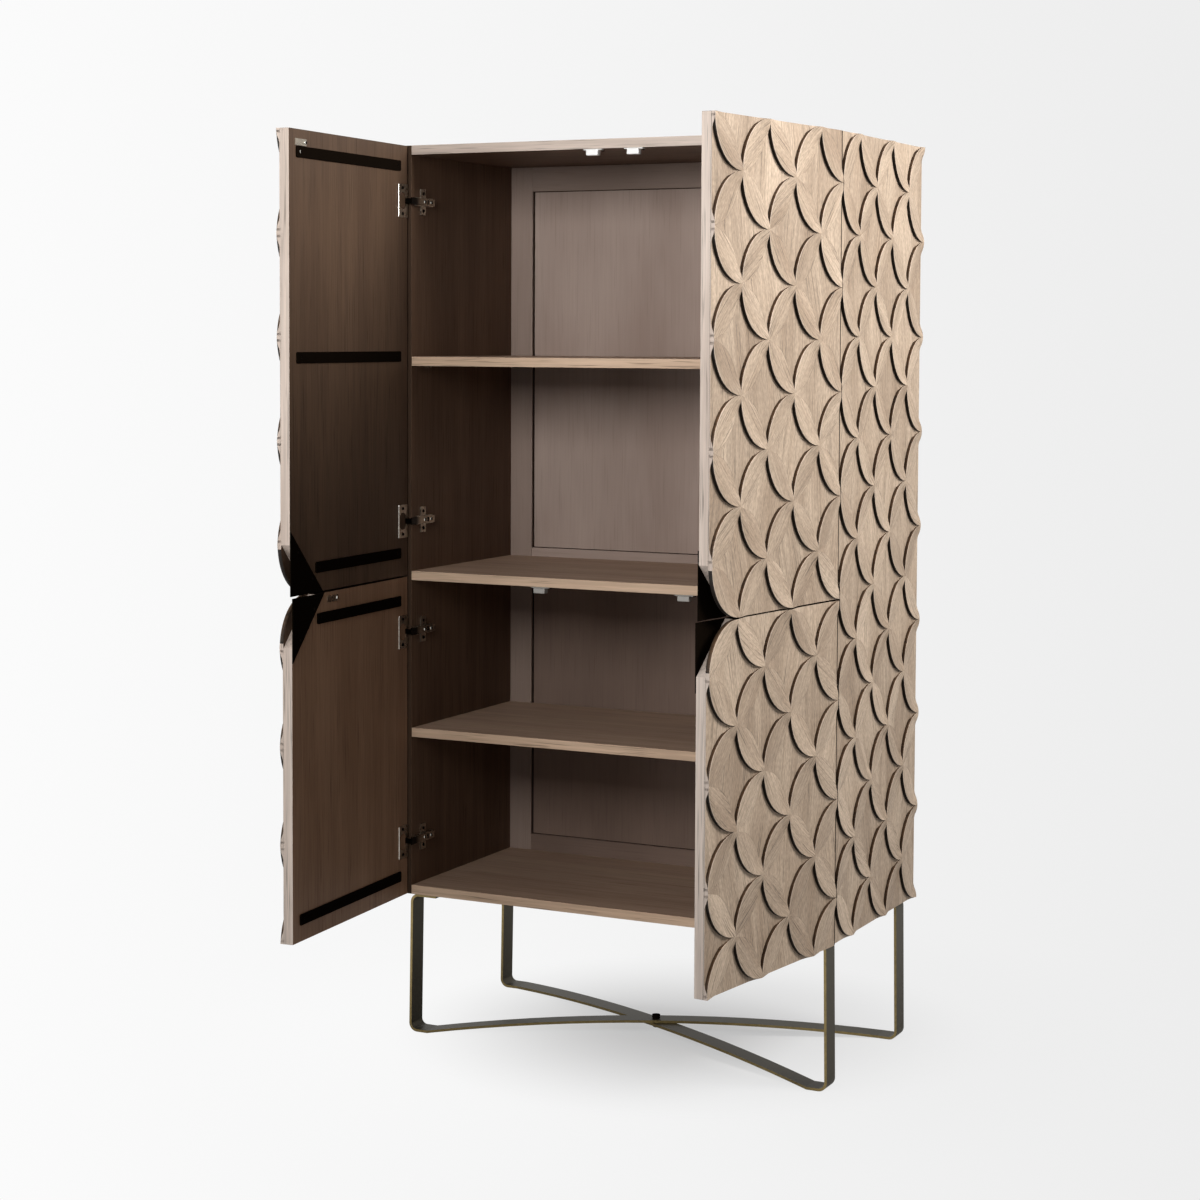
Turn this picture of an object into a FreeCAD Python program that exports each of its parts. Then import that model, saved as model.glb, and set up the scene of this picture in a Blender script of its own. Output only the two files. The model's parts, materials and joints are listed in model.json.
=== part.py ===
"""A tall carved cabinet: four doors on cup hinges, four compartments, two crossed strap legs.

Lengths are millimetres. X runs across the cabinet, Y from front to back, Z up from the floor.
The doors are drawn closed about their own hinge axes and then swung to the angle they stand at.
"""
import FreeCAD
import Part
import math
import os
import re

Vector = FreeCAD.Vector
Z_AXIS = Vector(0, 0, 1)
TOWARDS_CASE = Vector(0, 1, 0)

doc = FreeCAD.newDocument("carved_cabinet")
sheet = doc.addObject("Spreadsheet::Sheet", "sizes")

SIZES = {
    # case
    "case_width": 914, "case_height": 1457, "side_depth": 434, "board": 18,
    "lower_shelf_height": 328, "middle_shelf_height": 635, "upper_shelf_height": 1051,
    "shelf_play": 0.5, "shelf_pin_radius": 2.5, "shelf_pin_seat": 9, "shelf_pin_reach": 9,
    "shelf_pin_margin": 60, "pin_play": 0.05,
    # carved skins
    "carving": 8, "carving_base": 2, "scale_groove": 0.35,
    # framed back
    "back_inset": 8, "back_frame": 22, "stile_width": 50, "top_rail_height": 50, "middle_rail_height": 50,
    "middle_rail_rise": 18, "bottom_rail_height": 52, "groove_depth": 9, "tongue": 6, "tongue_play": 0.1,
    "tongue_end_play": 1, "panel_setback": 2, "panel_thickness": 12, "panel_side_gap": 4.5,
    "panel_end_gap": 1.5,
    # doors
    "lower_door_height": 623, "door_gap": 3.5, "door_edge_reveal": 3, "door_end_reveal": 1, "meeting_gap": 3,
    "right_upper_angle": 83, "right_lower_angle": 82.5, "left_upper_angle": 86.5, "left_lower_angle": 86,
    "pull_plate_leg": 116, "pull_plate": 2,
    "bar_height": 20, "bar_thickness": 2.5, "bar_hinge_margin": 30, "bar_free_margin": 24,
    "bar_plate_margin": 90, "end_bar_margin": 40, "meeting_bar_margin": 45, "bar_screw_margin": 14,
    "strike_width": 40, "strike_height": 12, "strike": 1.5, "strike_screw_margin": 4,
    # cup hinges
    "hinge_margin": 106, "pivot_inset": 8, "pivot_depth": 9, "cup_edge_distance": 21.5, "cup_radius": 17.5,
    "cup_wall": 1, "cup_depth": 12.8, "cup_play": 0.05, "flange_height": 64, "flange_width": 24,
    "flange": 1.2, "hinge_pin_radius": 1.25, "running_play": 0.05, "eye_radius": 2,
    "arm": 2, "arm_height": 14, "arm_neck": 10,
    "arm_crank": 24, "arm_length": 62, "plate_front": 12, "plate_length": 58, "plate_height": 16,
    "wing_length": 18, "wing_height": 50, "wing_setback": 30,
    # catches
    "catch_width": 24, "catch_height": 12, "catch_depth": 32, "catch_front": 1.5, "catch_wing": 2.5,
    "catch_wing_reach": 7, "catch_wing_depth": 14, "upper_catch_offset": 42, "lower_catch_offset": 150,
    # strap legs
    "leg_height": 274, "strap": 5, "strap_width": 42, "leg_inset": 22, "leg_splay": 4,
    "front_leg_setback": 26, "back_leg_setback": 34, "bend_radius": 12, "foot_length": 40, "arch_rise": 20,
    "crossing_play": 0.1,
    "flange_reach": 56, "bolt_radius": 4, "bolt_play": 0.2, "bolt_head_radius": 8, "bolt_head": 7,
    "nut_radius": 7, "nut": 6.5, "bolt_tail": 1.5,
    # screws
    "screw_radius": 1.6, "screw_head_radius": 3.4, "screw_head": 1.6, "flat_screw_head": 0.7,
    "screw_length": 9,
    "cut_overrun": 2,
}
for row, (alias, value) in enumerate(SIZES.items(), start=1):
    sheet.set(f"A{row}", alias)
    sheet.set(f"B{row}", str(value))
    sheet.setAlias(f"B{row}", alias)
doc.recompute()


def size(name):
    """Current value of one cell of the sheet."""
    return float(sheet.get(name))


def bound(text):
    """Expression text with every alias pointed at the sheet."""
    return re.sub(r"[a-z][a-z_]*", lambda match: "sizes." + match.group(0), text)


# Expressions that several pieces share
SIDE_INNER = "(case_width / 2 - carving - board)"
FRAME_FACE = "(side_depth - back_inset - back_frame)"
TOP_UNDERSIDE = "(case_height - board)"
UPPER_DOOR_FOOT = "(door_end_reveal + lower_door_height + meeting_gap)"
FRONT_REACH = "(case_width / 2 - meeting_gap / 2 - door_edge_reveal - pivot_inset + door_gap + pivot_depth)"
FRONT_Y = f"(({FRONT_REACH} - side_depth) / 2)"


def evaluate(text):
    """Number that an expression over the sheet comes to."""
    return float(sheet.evalExpression(bound(text).replace("sizes.", "")))


nodes = []


def keep(piece, label):
    """Mark an object as one finished piece, named for its file."""
    piece.Label = label
    nodes.append(piece)
    return piece


def box(name, across, deep, high):
    """Box bound to the sheet: each argument is a pair of expressions, start and length."""
    solid = doc.addObject("Part::Box", name)
    for side, place, (start, length) in zip(("Length", "Width", "Height"), "xyz", (across, deep, high)):
        solid.setExpression(side, bound(length))
        solid.setExpression(f"Placement.Base.{place}", bound(start))
    return solid


def case_box(name, across, deep, high):
    """Box placed from the case's front face and underside."""
    return box(name, across, (f"{FRONT_Y} + {deep[0]}", deep[1]), (f"leg_height + {high[0]}", high[1]))


def cylinder(name, radius, length, place, tilt=None):
    """Cylinder bound to the sheet, along Z or turned by the tilt given."""
    solid = doc.addObject("Part::Cylinder", name)
    solid.setExpression("Radius", bound(radius))
    solid.setExpression("Height", bound(length))
    if tilt:
        solid.Placement = FreeCAD.Placement(Vector(), tilt)
    for letter, text in zip("xyz", place):
        solid.setExpression(f"Placement.Base.{letter}", bound(text))
    return solid


def cut(name, base, tools):
    """Base with every tool taken out of it."""
    for number, tool in enumerate(tools):
        trimmed = doc.addObject("Part::Cut", f"{name}_cut_{number}")
        trimmed.Base = base
        trimmed.Tool = tool
        base = trimmed
    return base


def fuse(name, shapes):
    """One solid out of several."""
    joined = doc.addObject("Part::MultiFuse", name)
    joined.Shapes = shapes
    return joined


def solid_piece(label, shape):
    """Piece whose shape is worked out from the sheet in code."""
    piece = doc.addObject("Part::Feature", label)
    piece.Shape = shape
    return keep(piece, label)


ALONG_X = FreeCAD.Rotation(Vector(0, 1, 0), 90)
HANDS = {"left": -1, "right": 1}

# Case boards and shelves
BETWEEN_SIDES = (f"-{SIDE_INNER}", f"2 * {SIDE_INNER}")
keep(case_box("top", BETWEEN_SIDES, ("0", "side_depth"), (TOP_UNDERSIDE, "board")), "top_panel")
keep(case_box("bottom", BETWEEN_SIDES, ("0", FRAME_FACE), ("0", "board")), "bottom_panel")
keep(case_box("middle", BETWEEN_SIDES, ("0", FRAME_FACE), ("middle_shelf_height - board", "board")),
     "middle_shelf")
LOOSE_WIDTH = (f"shelf_play - {SIDE_INNER}", f"2 * ({SIDE_INNER} - shelf_play)")
for level in ("lower", "upper"):
    shelf = case_box(level, LOOSE_WIDTH, ("0", f"{FRAME_FACE} - shelf_play"),
                     (f"{level}_shelf_height - board", "board"))
    keep(shelf, f"{level}_shelf")


def shelf_pins(name, hand, play):
    """Four pins, or their bores, of one side: two under each loose shelf."""
    pins = []
    reach = "shelf_pin_seat + shelf_pin_reach"
    start = f"{SIDE_INNER} - shelf_pin_reach" if hand > 0 else f"-{SIDE_INNER} - shelf_pin_seat"
    for level in ("lower", "upper"):
        for end, deep in (("front", "shelf_pin_margin"), ("back", f"{FRAME_FACE} - shelf_pin_margin")):
            height = f"leg_height + {level}_shelf_height - board - shelf_pin_radius"
            pin = cylinder(f"{name}_{level}_{end}", f"shelf_pin_radius + {play}", reach,
                           (start, f"{FRONT_Y} + {deep}", height), ALONG_X)
            pins.append(pin)
    return pins


all_pins = []
for side, hand in HANDS.items():
    start = SIDE_INNER if hand > 0 else f"-{SIDE_INNER} - board"
    plank = case_box(f"{side}_plank", (start, "board"), ("0", "side_depth"), ("0", "case_height"))
    keep(cut(f"{side}_side", plank, shelf_pins(f"{side}_bore", hand, "pin_play")), f"{side}_side_board")
    all_pins += shelf_pins(f"{side}_pin", hand, "0")
pin_group = doc.addObject("Part::Compound", "pins")
pin_group.Links = all_pins
keep(pin_group, "shelf_pins")

# Framed back: stiles, rails and two loose panels in grooves
GROOVE_START = f"({FRAME_FACE} + panel_setback + (panel_thickness - tongue) / 2)"
GROOVE = (f"{GROOVE_START} - tongue_play", "tongue + 2 * tongue_play")
FRAME_DEEP = (FRAME_FACE, "back_frame")
OPENING_HALF = f"({SIDE_INNER} - stile_width)"
for side, hand in HANDS.items():
    start = OPENING_HALF if hand > 0 else f"-{SIDE_INNER}"
    groove_start = f"{OPENING_HALF} - cut_overrun" if hand > 0 else f"-{OPENING_HALF} - groove_depth"
    stick = case_box(f"{side}_stick", (start, "stile_width"), FRAME_DEEP, ("0", TOP_UNDERSIDE))
    slot = case_box(f"{side}_slot", (groove_start, "groove_depth + cut_overrun"), GROOVE,
                    ("bottom_rail_height - groove_depth",
                     f"{TOP_UNDERSIDE} - top_rail_height - bottom_rail_height + 2 * groove_depth"))
    keep(cut(f"{side}_stile", stick, [slot]), f"back_{side}_stile")

MIDDLE_RAIL_TOP = "(middle_shelf_height + middle_rail_rise)"
MIDDLE_RAIL_FOOT = f"({MIDDLE_RAIL_TOP} - middle_rail_height)"
RAILS = {
    "top": (f"{TOP_UNDERSIDE} - top_rail_height", "top_rail_height"),
    "middle": (MIDDLE_RAIL_FOOT, "middle_rail_height"),
    "bottom": ("0", "bottom_rail_height"),
}
RAIL_ACROSS = (f"-{OPENING_HALF}", f"2 * {OPENING_HALF}")
for level, (foot, height) in RAILS.items():
    slots = []
    if level != "bottom":
        slots.append((f"{foot} - cut_overrun", "groove_depth + cut_overrun"))
    if level != "top":
        slots.append((f"{foot} + {height} - groove_depth", "groove_depth + cut_overrun"))
    stick = case_box(f"{level}_stick", RAIL_ACROSS, FRAME_DEEP, (foot, height))
    cuts = [case_box(f"{level}_slot_{number}", RAIL_ACROSS, GROOVE, slot)
            for number, slot in enumerate(slots)]
    keep(cut(f"{level}_rail", stick, cuts), f"back_{level}_rail")

PANEL_OPENINGS = {
    "upper": (MIDDLE_RAIL_TOP, f"({TOP_UNDERSIDE} - top_rail_height)"),
    "lower": ("bottom_rail_height", MIDDLE_RAIL_FOOT),
}
TONGUE_REACH = "(groove_depth - tongue_end_play)"
for level, (foot, head) in PANEL_OPENINGS.items():
    field = case_box(f"{level}_field",
                     (f"panel_side_gap - {OPENING_HALF}", f"2 * ({OPENING_HALF} - panel_side_gap)"),
                     (f"{FRAME_FACE} + panel_setback", "panel_thickness"),
                     (f"{foot} + panel_end_gap", f"{head} - {foot} - 2 * panel_end_gap"))
    tongue = case_box(f"{level}_tongue",
                      (f"-{OPENING_HALF} - {TONGUE_REACH}", f"2 * ({OPENING_HALF} + {TONGUE_REACH})"),
                      (GROOVE_START, "tongue"),
                      (f"{foot} - {TONGUE_REACH}", f"{head} - {foot} + 2 * {TONGUE_REACH}"))
    keep(fuse(f"{level}_panel", [field, tongue]), f"back_{level}_panel")


# Carved skins of overlapping scales: a flat ground, and two raised petals on the left half of each scale
def oval(centre, half_across, half_up, depth):
    """Upright oval block about a centre, from the skin's back towards -y."""
    ends = [centre + Vector(half_across, 0, 0), centre + Vector(0, 0, half_up)]
    if half_up > half_across:
        ends.reverse()
    rim = Part.Wire(Part.Ellipse(*ends, centre).toShape())
    return Part.Face(rim).extrude(Vector(0, -depth, 0))


PETAL_FOOT_SHARE = math.sqrt(2) - 1


def petal(pitch_across, pitch_up, base, crest, up):
    """Petal where a scale overlaps the one before it, above (up = 1) or below (up = -1).

    Its top slopes from the ground, at the other scale's rim, to the crest at the scale's own rim.
    """
    groove = size("scale_groove")
    tall = crest + size("cut_overrun")
    own = oval(Vector(), pitch_across - groove, pitch_up - groove, tall)
    other = oval(Vector(-pitch_across, 0, up * pitch_up), pitch_across - groove, pitch_up - groove, tall)
    rise = (crest - base) / (1 - PETAL_FOOT_SHARE) / math.sqrt(2)
    normal = Vector(rise / pitch_across, -1, -up * rise / pitch_up)
    rim_middle = Vector(-pitch_across, -crest * math.sqrt(2), up * pitch_up) * (1 / math.sqrt(2))
    slope = Part.Face(Part.Plane(rim_middle, normal)).makeHalfSpace(Vector(0, tall, 0) + rim_middle)
    return own.common(other).common(slope)


def skin_outline(width, height, pitch_across, pitch_up, depth, corner):
    """Outline of a skin, with the corner at x = 0 named 'foot' or 'head' rounded along a scale's own rim."""
    sheet_block = Part.makeBox(width, depth, height, Vector(0, -depth, 0))
    if corner is None:
        return sheet_block
    level = pitch_up if corner == "foot" else height - pitch_up
    start = 0 if corner == "foot" else level
    corner_block = Part.makeBox(pitch_across, depth, pitch_up, Vector(0, -depth, start))
    rounded = corner_block.common(oval(Vector(pitch_across, 0, level), pitch_across, pitch_up, depth))
    return sheet_block.cut(corner_block).fuse(rounded).removeSplitter()


def carved_skin(width, height, columns, rows, odd_start, corner=None):
    """Skin of scales, x from 0 to width, z from 0 to height, its back at y = 0 and its crest towards -y.

    Scales face x = 0. A scale is centred where its column and row add up to odd_start's parity.
    """
    base, crest = size("carving_base"), size("carving")
    pitch_across, pitch_up = width / columns, height / rows
    pair = [petal(pitch_across, pitch_up, base, crest, up) for up in (-1, 1)]
    outline = skin_outline(width, height, pitch_across, pitch_up, crest, corner)
    ground = skin_outline(width, height, pitch_across, pitch_up, base, corner)
    petals = []
    for column in range(1, columns + 1):
        for row in range(rows + 1):
            if (column + row) % 2 != odd_start:
                continue
            for one in pair:
                copy = one.copy()
                copy.translate(Vector(column * pitch_across, 0, row * pitch_up))
                if row in (0, rows):
                    copy = copy.common(outline)
                if copy.Solids:
                    petals.append(copy)
    return ground.multiFuse(petals)


def mirrored(shape, hand):
    """Shape as it is for the right hand, mirrored across X for the left."""
    return shape if hand > 0 else shape.mirror(Vector(), Vector(1, 0, 0))


SCALE_COLUMNS = 5
SIDE_ROWS = 16
UPPER_ROWS = 9
LOWER_ROWS = 7
front_y = evaluate(FRONT_Y)
side_skin = carved_skin(size("side_depth"), size("case_height"), SCALE_COLUMNS, SIDE_ROWS, 0)
side_skin.rotate(Vector(), Z_AXIS, 90)
side_skin.translate(Vector(size("case_width") / 2 - size("carving"), front_y, size("leg_height")))
for side, hand in HANDS.items():
    solid_piece(f"{side}_side_carving", mirrored(side_skin, hand))


# Screws
def screw(place, outward, head_height="screw_head"):
    """Screw with its head's underside at the place given, head towards outward."""
    head = Part.makeCylinder(size("screw_head_radius"), size(head_height), place, outward)
    shank = Part.makeCylinder(size("screw_radius"), size("screw_length"), place, outward * -1)
    return head.fuse(shank).removeSplitter()


# Doors, drawn closed about the hinge axis: x towards the hinge edge, y towards the case
pivot_x = evaluate("case_width / 2 - door_edge_reveal - pivot_inset")
pivot_y = front_y - size("door_gap") - size("pivot_depth")
hinge_edge = size("pivot_inset")
free_edge = evaluate("meeting_gap / 2") - pivot_x
door_width = hinge_edge - free_edge
inner_face = size("pivot_depth")
outer_face = inner_face - size("board")
cup_x = hinge_edge - size("cup_edge_distance")
upper_foot = evaluate(UPPER_DOOR_FOOT)
door_head = evaluate("case_height - door_end_reveal")


def slab_xz(points, start_y, thickness):
    """Plate with the outline given in X and Z, from start_y towards +y."""
    outline = [Vector(x, start_y, z) for x, z in points]
    return Part.Face(Part.makePolygon(outline + outline[:1])).extrude(Vector(0, thickness, 0))


def block(low, high):
    """Box between two corners."""
    spans = [end - start for start, end in zip(low, high)]
    return Part.makeBox(*spans, Vector(*low))


def cup(level):
    """Hinge cup with its flange on the door's inner face, and the space that it takes in the board."""
    radius, depth = size("cup_radius"), size("cup_depth")
    wall, play = size("cup_wall"), size("cup_play")
    down = Vector(0, -1, 0)
    mouth = Vector(cup_x, inner_face, level)
    half_height = size("flange_height") / 2
    half_width = size("flange_width") / 2
    lip = block((cup_x - half_width, inner_face, level - half_height),
                (hinge_edge - wall, inner_face + size("flange"), level + half_height))
    body = Part.makeCylinder(radius, depth + wall, mouth, down)
    top = mouth + Vector(0, size("flange"), 0)
    hollow = Part.makeCylinder(radius - wall, depth + size("flange"), top, down)
    bore = Part.makeCylinder(radius + play, depth + wall + play, mouth, down)
    return body.fuse(lip).cut(hollow).removeSplitter(), bore


def hinge_pin(level):
    """Pin across the cup at the pivot, ending at the cup's wall."""
    radius = size("hinge_pin_radius")
    inner = size("cup_radius") - size("cup_wall")
    half = math.sqrt(inner ** 2 - (-cup_x + radius) ** 2) - size("running_play")
    return Part.makeCylinder(radius, 2 * half, Vector(0, 0, level - half), Z_AXIS)


def hinge_arm(level):
    """Cranked arm from the mounting plate to an eye on the pin, in the case's own position."""
    half, neck = size("arm_height") / 2, size("arm_neck") / 2
    thick, crank = size("arm"), size("arm_crank")
    front = inner_face + size("door_gap")
    across = block((-crank, -thick / 2, level - neck), (0, thick / 2, level + neck))
    along = block((-crank, -thick / 2, level - half),
                  (thick - crank, front + size("plate_front") + size("arm_length"), level + half))
    foot = Vector(0, 0, level - neck)
    eye = Part.makeCylinder(size("eye_radius"), 2 * neck, foot, Z_AXIS)
    hole = Part.makeCylinder(size("hinge_pin_radius") + size("running_play"), 2 * neck, foot, Z_AXIS)
    return across.fuse([along, eye]).cut(hole).removeSplitter()


def hinge_plate(level):
    """Cross-shaped mounting plate between the side board and the arm."""
    start = inner_face + size("door_gap") + size("plate_front")
    face = evaluate(SIDE_INNER) - pivot_x
    back = size("arm") - size("arm_crank")
    half = size("plate_height") / 2
    wing = size("wing_height") / 2
    wing_start = start + size("wing_setback") - size("wing_length") / 2
    strip = block((back, start, level - half), (face, start + size("plate_length"), level + half))
    wings = block((face - size("catch_wing"), wing_start, level - wing),
                  (face, wing_start + size("wing_length"), level + wing))
    return strip.fuse(wings).removeSplitter()


def plate_screws(level):
    """Two screws through the wings of a mounting plate."""
    face = evaluate(SIDE_INNER) - pivot_x - size("catch_wing")
    middle = inner_face + size("door_gap") + size("plate_front") + size("wing_setback")
    offset = (size("wing_height") + size("plate_height")) / 4
    return [screw(Vector(face, middle, level + end * offset), Vector(-1, 0, 0)) for end in (-1, 1)]


def to_case(shape, hand):
    """Shape drawn about a hinge axis, moved to its place on the case."""
    shape = shape.copy()
    shape.translate(Vector(pivot_x, pivot_y, size("leg_height")))
    return mirrored(shape, hand)


PLATE_SCREW_SHARES = ((2 / 3, 2 / 9), (2 / 9, 2 / 3))
CATCHES = {"upper": TOP_UNDERSIDE, "lower": "(middle_shelf_height - board)"}


def door(side, hand, level):
    """All the pieces of one door, swung to its angle."""
    name = f"{level}_{side}"
    upper = level == "upper"
    foot = upper_foot if upper else size("door_end_reveal")
    head = door_head if upper else foot + size("lower_door_height")
    meeting, away = (foot, 1) if upper else (head, -1)
    rows = UPPER_ROWS if upper else LOWER_ROWS
    pitch_across, pitch_up = door_width / SCALE_COLUMNS, (head - foot) / rows
    levels = (foot + size("hinge_margin"), head - size("hinge_margin"))

    def at(across, up):
        """Point of the door from its free edge and from the line where upper and lower doors meet."""
        return free_edge + across, meeting + away * up

    height = head - foot
    notched = [at(pitch_across, 0), at(door_width, 0), at(door_width, height), at(0, height), at(0, pitch_up)]
    leaf = slab_xz(notched, outer_face, size("board"))
    cups = []
    for spot in levels:
        shell, bore = cup(spot)
        cups.append(shell)
        leaf = leaf.cut(bore)

    odd_start = 0 if upper else rows % 2
    corner = "foot" if upper else "head"
    skin = carved_skin(door_width, height, SCALE_COLUMNS, rows, odd_start, corner)
    skin.translate(Vector(free_edge, outer_face, foot))

    reach = size("pull_plate_leg")
    plate = slab_xz([at(0, 0), at(reach, 0), at(0, reach)], inner_face, size("pull_plate"))

    half = size("bar_height") / 2
    free = size("bar_free_margin")
    spots = {size("end_bar_margin"): free}
    if upper:
        spots[(head - foot) / 2 - size("bar_height") / 2] = free
    spots[head - foot - size("meeting_bar_margin")] = size("bar_plate_margin")
    bars = []
    screws = []
    front = inner_face + size("bar_thickness")
    for drop, margin in spots.items():
        middle = (head - drop) if upper else (foot + drop)
        ends = (free_edge + margin, hinge_edge - size("bar_hinge_margin"))
        bars.append(block((ends[0], inner_face, middle - half), (ends[1], front, middle + half)))
        for place in (ends[0] + size("bar_screw_margin"), ends[1] - size("bar_screw_margin")):
            screws.append(screw(Vector(place, front, middle), TOWARDS_CASE, "flat_screw_head"))

    offset = size("upper_catch_offset") if upper else size("lower_catch_offset")
    strike_x = offset - pivot_x
    strike_z = evaluate(CATCHES[level]) - size("catch_height") / 2
    half_strike, half_high = size("strike_width") / 2, size("strike_height") / 2
    strike = block((strike_x - half_strike, inner_face, strike_z - half_high),
                   (strike_x + half_strike, inner_face + size("strike"), strike_z + half_high))

    flange_half = (size("flange_height") / 2 + size("cup_radius")) / 2
    for spot in levels:
        for end in (-1, 1):
            place = Vector(cup_x, inner_face + size("flange"), spot + end * flange_half)
            screws.append(screw(place, TOWARDS_CASE))
    for across_share, up_share in PLATE_SCREW_SHARES:
        x, z = at(reach * across_share, reach * up_share)
        screws.append(screw(Vector(x, inner_face + size("pull_plate"), z), TOWARDS_CASE))
    strike_screw_x = strike_x + half_strike - size("strike_screw_margin")
    screws.append(screw(Vector(strike_screw_x, inner_face + size("strike"), strike_z), TOWARDS_CASE))

    turn = FreeCAD.Rotation(Z_AXIS, hand * size(f"{side}_{level}_angle"))
    swing = FreeCAD.Placement(Vector(hand * pivot_x, pivot_y, size("leg_height")), turn)
    pieces = {
        "door_board": leaf, "door_carving": skin, "pull_plate": plate,
        "stiffener_bars": Part.makeCompound(bars), "strike_plate": strike,
        "hinge_cups": Part.makeCompound(cups),
        "hinge_pins": Part.makeCompound([hinge_pin(spot) for spot in levels]),
        "door_screws": Part.makeCompound(screws),
    }
    for piece, shape in pieces.items():
        hung = solid_piece(f"{name}_{piece}", mirrored(shape, hand))
        hung.Placement = swing * hung.Placement
    return levels


case_screws = []
for side, hand in HANDS.items():
    spots = [spot for level in ("upper", "lower") for spot in door(side, hand, level)]
    arms = [to_case(hinge_arm(spot), hand) for spot in spots]
    plates = [to_case(hinge_plate(spot), hand) for spot in spots]
    solid_piece(f"{side}_hinge_arms", Part.makeCompound(arms))
    solid_piece(f"{side}_hinge_plates", Part.makeCompound(plates))
    case_screws += [to_case(one, hand) for spot in spots for one in plate_screws(spot)]

# Magnetic catches under the top and under the middle shelf
for level, ceiling in CATCHES.items():
    top = size("leg_height") + evaluate(ceiling)
    front = front_y - size("catch_front")
    catches = []
    for hand in HANDS.values():
        middle = hand * size(f"{level}_catch_offset")
        half = size("catch_width") / 2
        wide = half + size("catch_wing_reach")
        wing_front = front + (size("catch_depth") - size("catch_wing_depth")) / 2
        body = block((middle - half, front, top - size("catch_height")),
                     (middle + half, front + size("catch_depth"), top))
        wings = block((middle - wide, wing_front, top - size("catch_wing")),
                      (middle + wide, wing_front + size("catch_wing_depth"), top))
        catches.append(body.fuse(wings).removeSplitter())
        for end in (-1, 1):
            place = Vector(middle + end * (half + wide) / 2, wing_front + size("catch_wing_depth") / 2,
                           top - size("catch_wing"))
            case_screws.append(screw(place, Vector(0, 0, -1)))
    solid_piece(f"{level}_catches", Part.makeCompound(catches))

# Strap legs: two bent straps that cross under the case
leg_x = size("case_width") / 2 - size("leg_inset")
foot_x = leg_x + size("leg_splay")
front_leg_y = front_y + size("front_leg_setback")
back_leg_y = front_y + size("side_depth") - size("back_leg_setback")
strap = size("strap")
run_x = foot_x - size("foot_length")


def runs_along_y(edge, x, z):
    """Whether an edge runs from front to back at the X and Z given, on either side."""
    middle = edge.CenterOfMass
    near = strap / 2
    level = edge.BoundBox.ZLength < near and edge.BoundBox.XLength < near
    return level and abs(abs(middle.x) - x) < near and abs(middle.z - z) < near


def strap_profile(rise, reach):
    """Bent strap seen from the front, stretched in Y over the reach given."""
    top, inner = size("leg_height"), strap
    tab = leg_x - size("flange_reach")

    def side_points(hand):
        outer = [(tab, top), (leg_x, top), (foot_x, 0), (run_x, 0)]
        inside = [(run_x, inner), (foot_x - strap, inner), (leg_x - strap, top - strap), (tab, top - strap)]
        return [Vector(hand * x, 0, z) for x, z in outer], [Vector(hand * x, 0, z) for x, z in inside]

    left_outer, left_inner = side_points(-1)
    right_outer, right_inner = side_points(1)
    under = Part.Arc(left_outer[-1], Vector(0, 0, rise), right_outer[-1]).toShape()
    over = Part.Arc(right_inner[0], Vector(0, 0, rise + strap), left_inner[0]).toShape()

    def lines(points):
        return [Part.makeLine(start, end) for start, end in zip(points, points[1:])]

    right_up = right_outer[::-1]
    right_down = right_inner[::-1]
    left_up = left_inner
    left_down = left_outer
    edges = (lines(left_down) + [under] + lines(right_up) + lines([right_up[-1], right_down[0]])
             + lines(right_down) + [over] + lines(left_up) + lines([left_up[-1], left_down[0]]))
    bent = Part.Face(Part.Wire(edges)).extrude(Vector(0, reach, 0))
    corners = {
        size("bend_radius") + strap: [(leg_x, top), (foot_x, 0)],
        size("bend_radius"): [(foot_x - strap, inner), (leg_x - strap, top - strap)],
    }
    for radius, places in corners.items():
        chosen = [edge for edge in bent.Edges if any(runs_along_y(edge, x, z) for x, z in places)]
        bent = bent.makeFillet(radius, chosen)
    return bent


def strap_leg(rise, left_y, right_y):
    """One strap: square legs at its ends, and a run between them that crosses the case at a slant."""
    over = size("cut_overrun")
    half = size("strap_width") / 2
    low, high = min(left_y, right_y) - half - over, max(left_y, right_y) + half + over
    bent = strap_profile(rise, high - low)
    bent.translate(Vector(0, low, 0))
    top = size("leg_height") + over
    wide = foot_x + over
    clear = top / 2
    band = [(-run_x, left_y - half), (run_x, right_y - half),
            (run_x, right_y + half), (-run_x, left_y + half)]
    outline = [Vector(x, y, -over) for x, y in band]
    run = bent.common(Part.Face(Part.makePolygon(outline + outline[:1])).extrude(Vector(0, 0, clear)))
    pieces = [run]
    for hand, y in ((-1, left_y), (1, right_y)):
        inner_x = (leg_x - size("flange_reach") - over) * hand
        outer_x, run_end = wide * hand, run_x * hand
        lower = block((min(run_end, outer_x), y - half, -over), (max(run_end, outer_x), y + half, clear))
        upper = block((min(inner_x, outer_x), y - half, clear), (max(inner_x, outer_x), y + half, top))
        pieces.append(bent.common(lower.fuse(upper)))
    whole = pieces[0].multiFuse(pieces[1:])
    crossing = Vector(0, (left_y + right_y) / 2, 0)
    hole = Part.makeCylinder(size("bolt_radius") + size("bolt_play"), top, crossing, Z_AXIS)
    return whole.cut(hole).removeSplitter()


FLANGE_SCREW_SHARES = (1 / 3, 2 / 3)
upper_rise = evaluate("arch_rise + strap + crossing_play")
solid_piece("upper_leg_strap", strap_leg(upper_rise, front_leg_y, back_leg_y))
solid_piece("lower_leg_strap", strap_leg(size("arch_rise"), back_leg_y, front_leg_y))
for hand in HANDS.values():
    for y in (front_leg_y, back_leg_y):
        for share in FLANGE_SCREW_SHARES:
            place = Vector(hand * (leg_x - size("flange_reach") * share), y, size("leg_height") - strap)
            case_screws.append(screw(place, Vector(0, 0, -1)))
solid_piece("case_screws", Part.makeCompound(case_screws))

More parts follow.
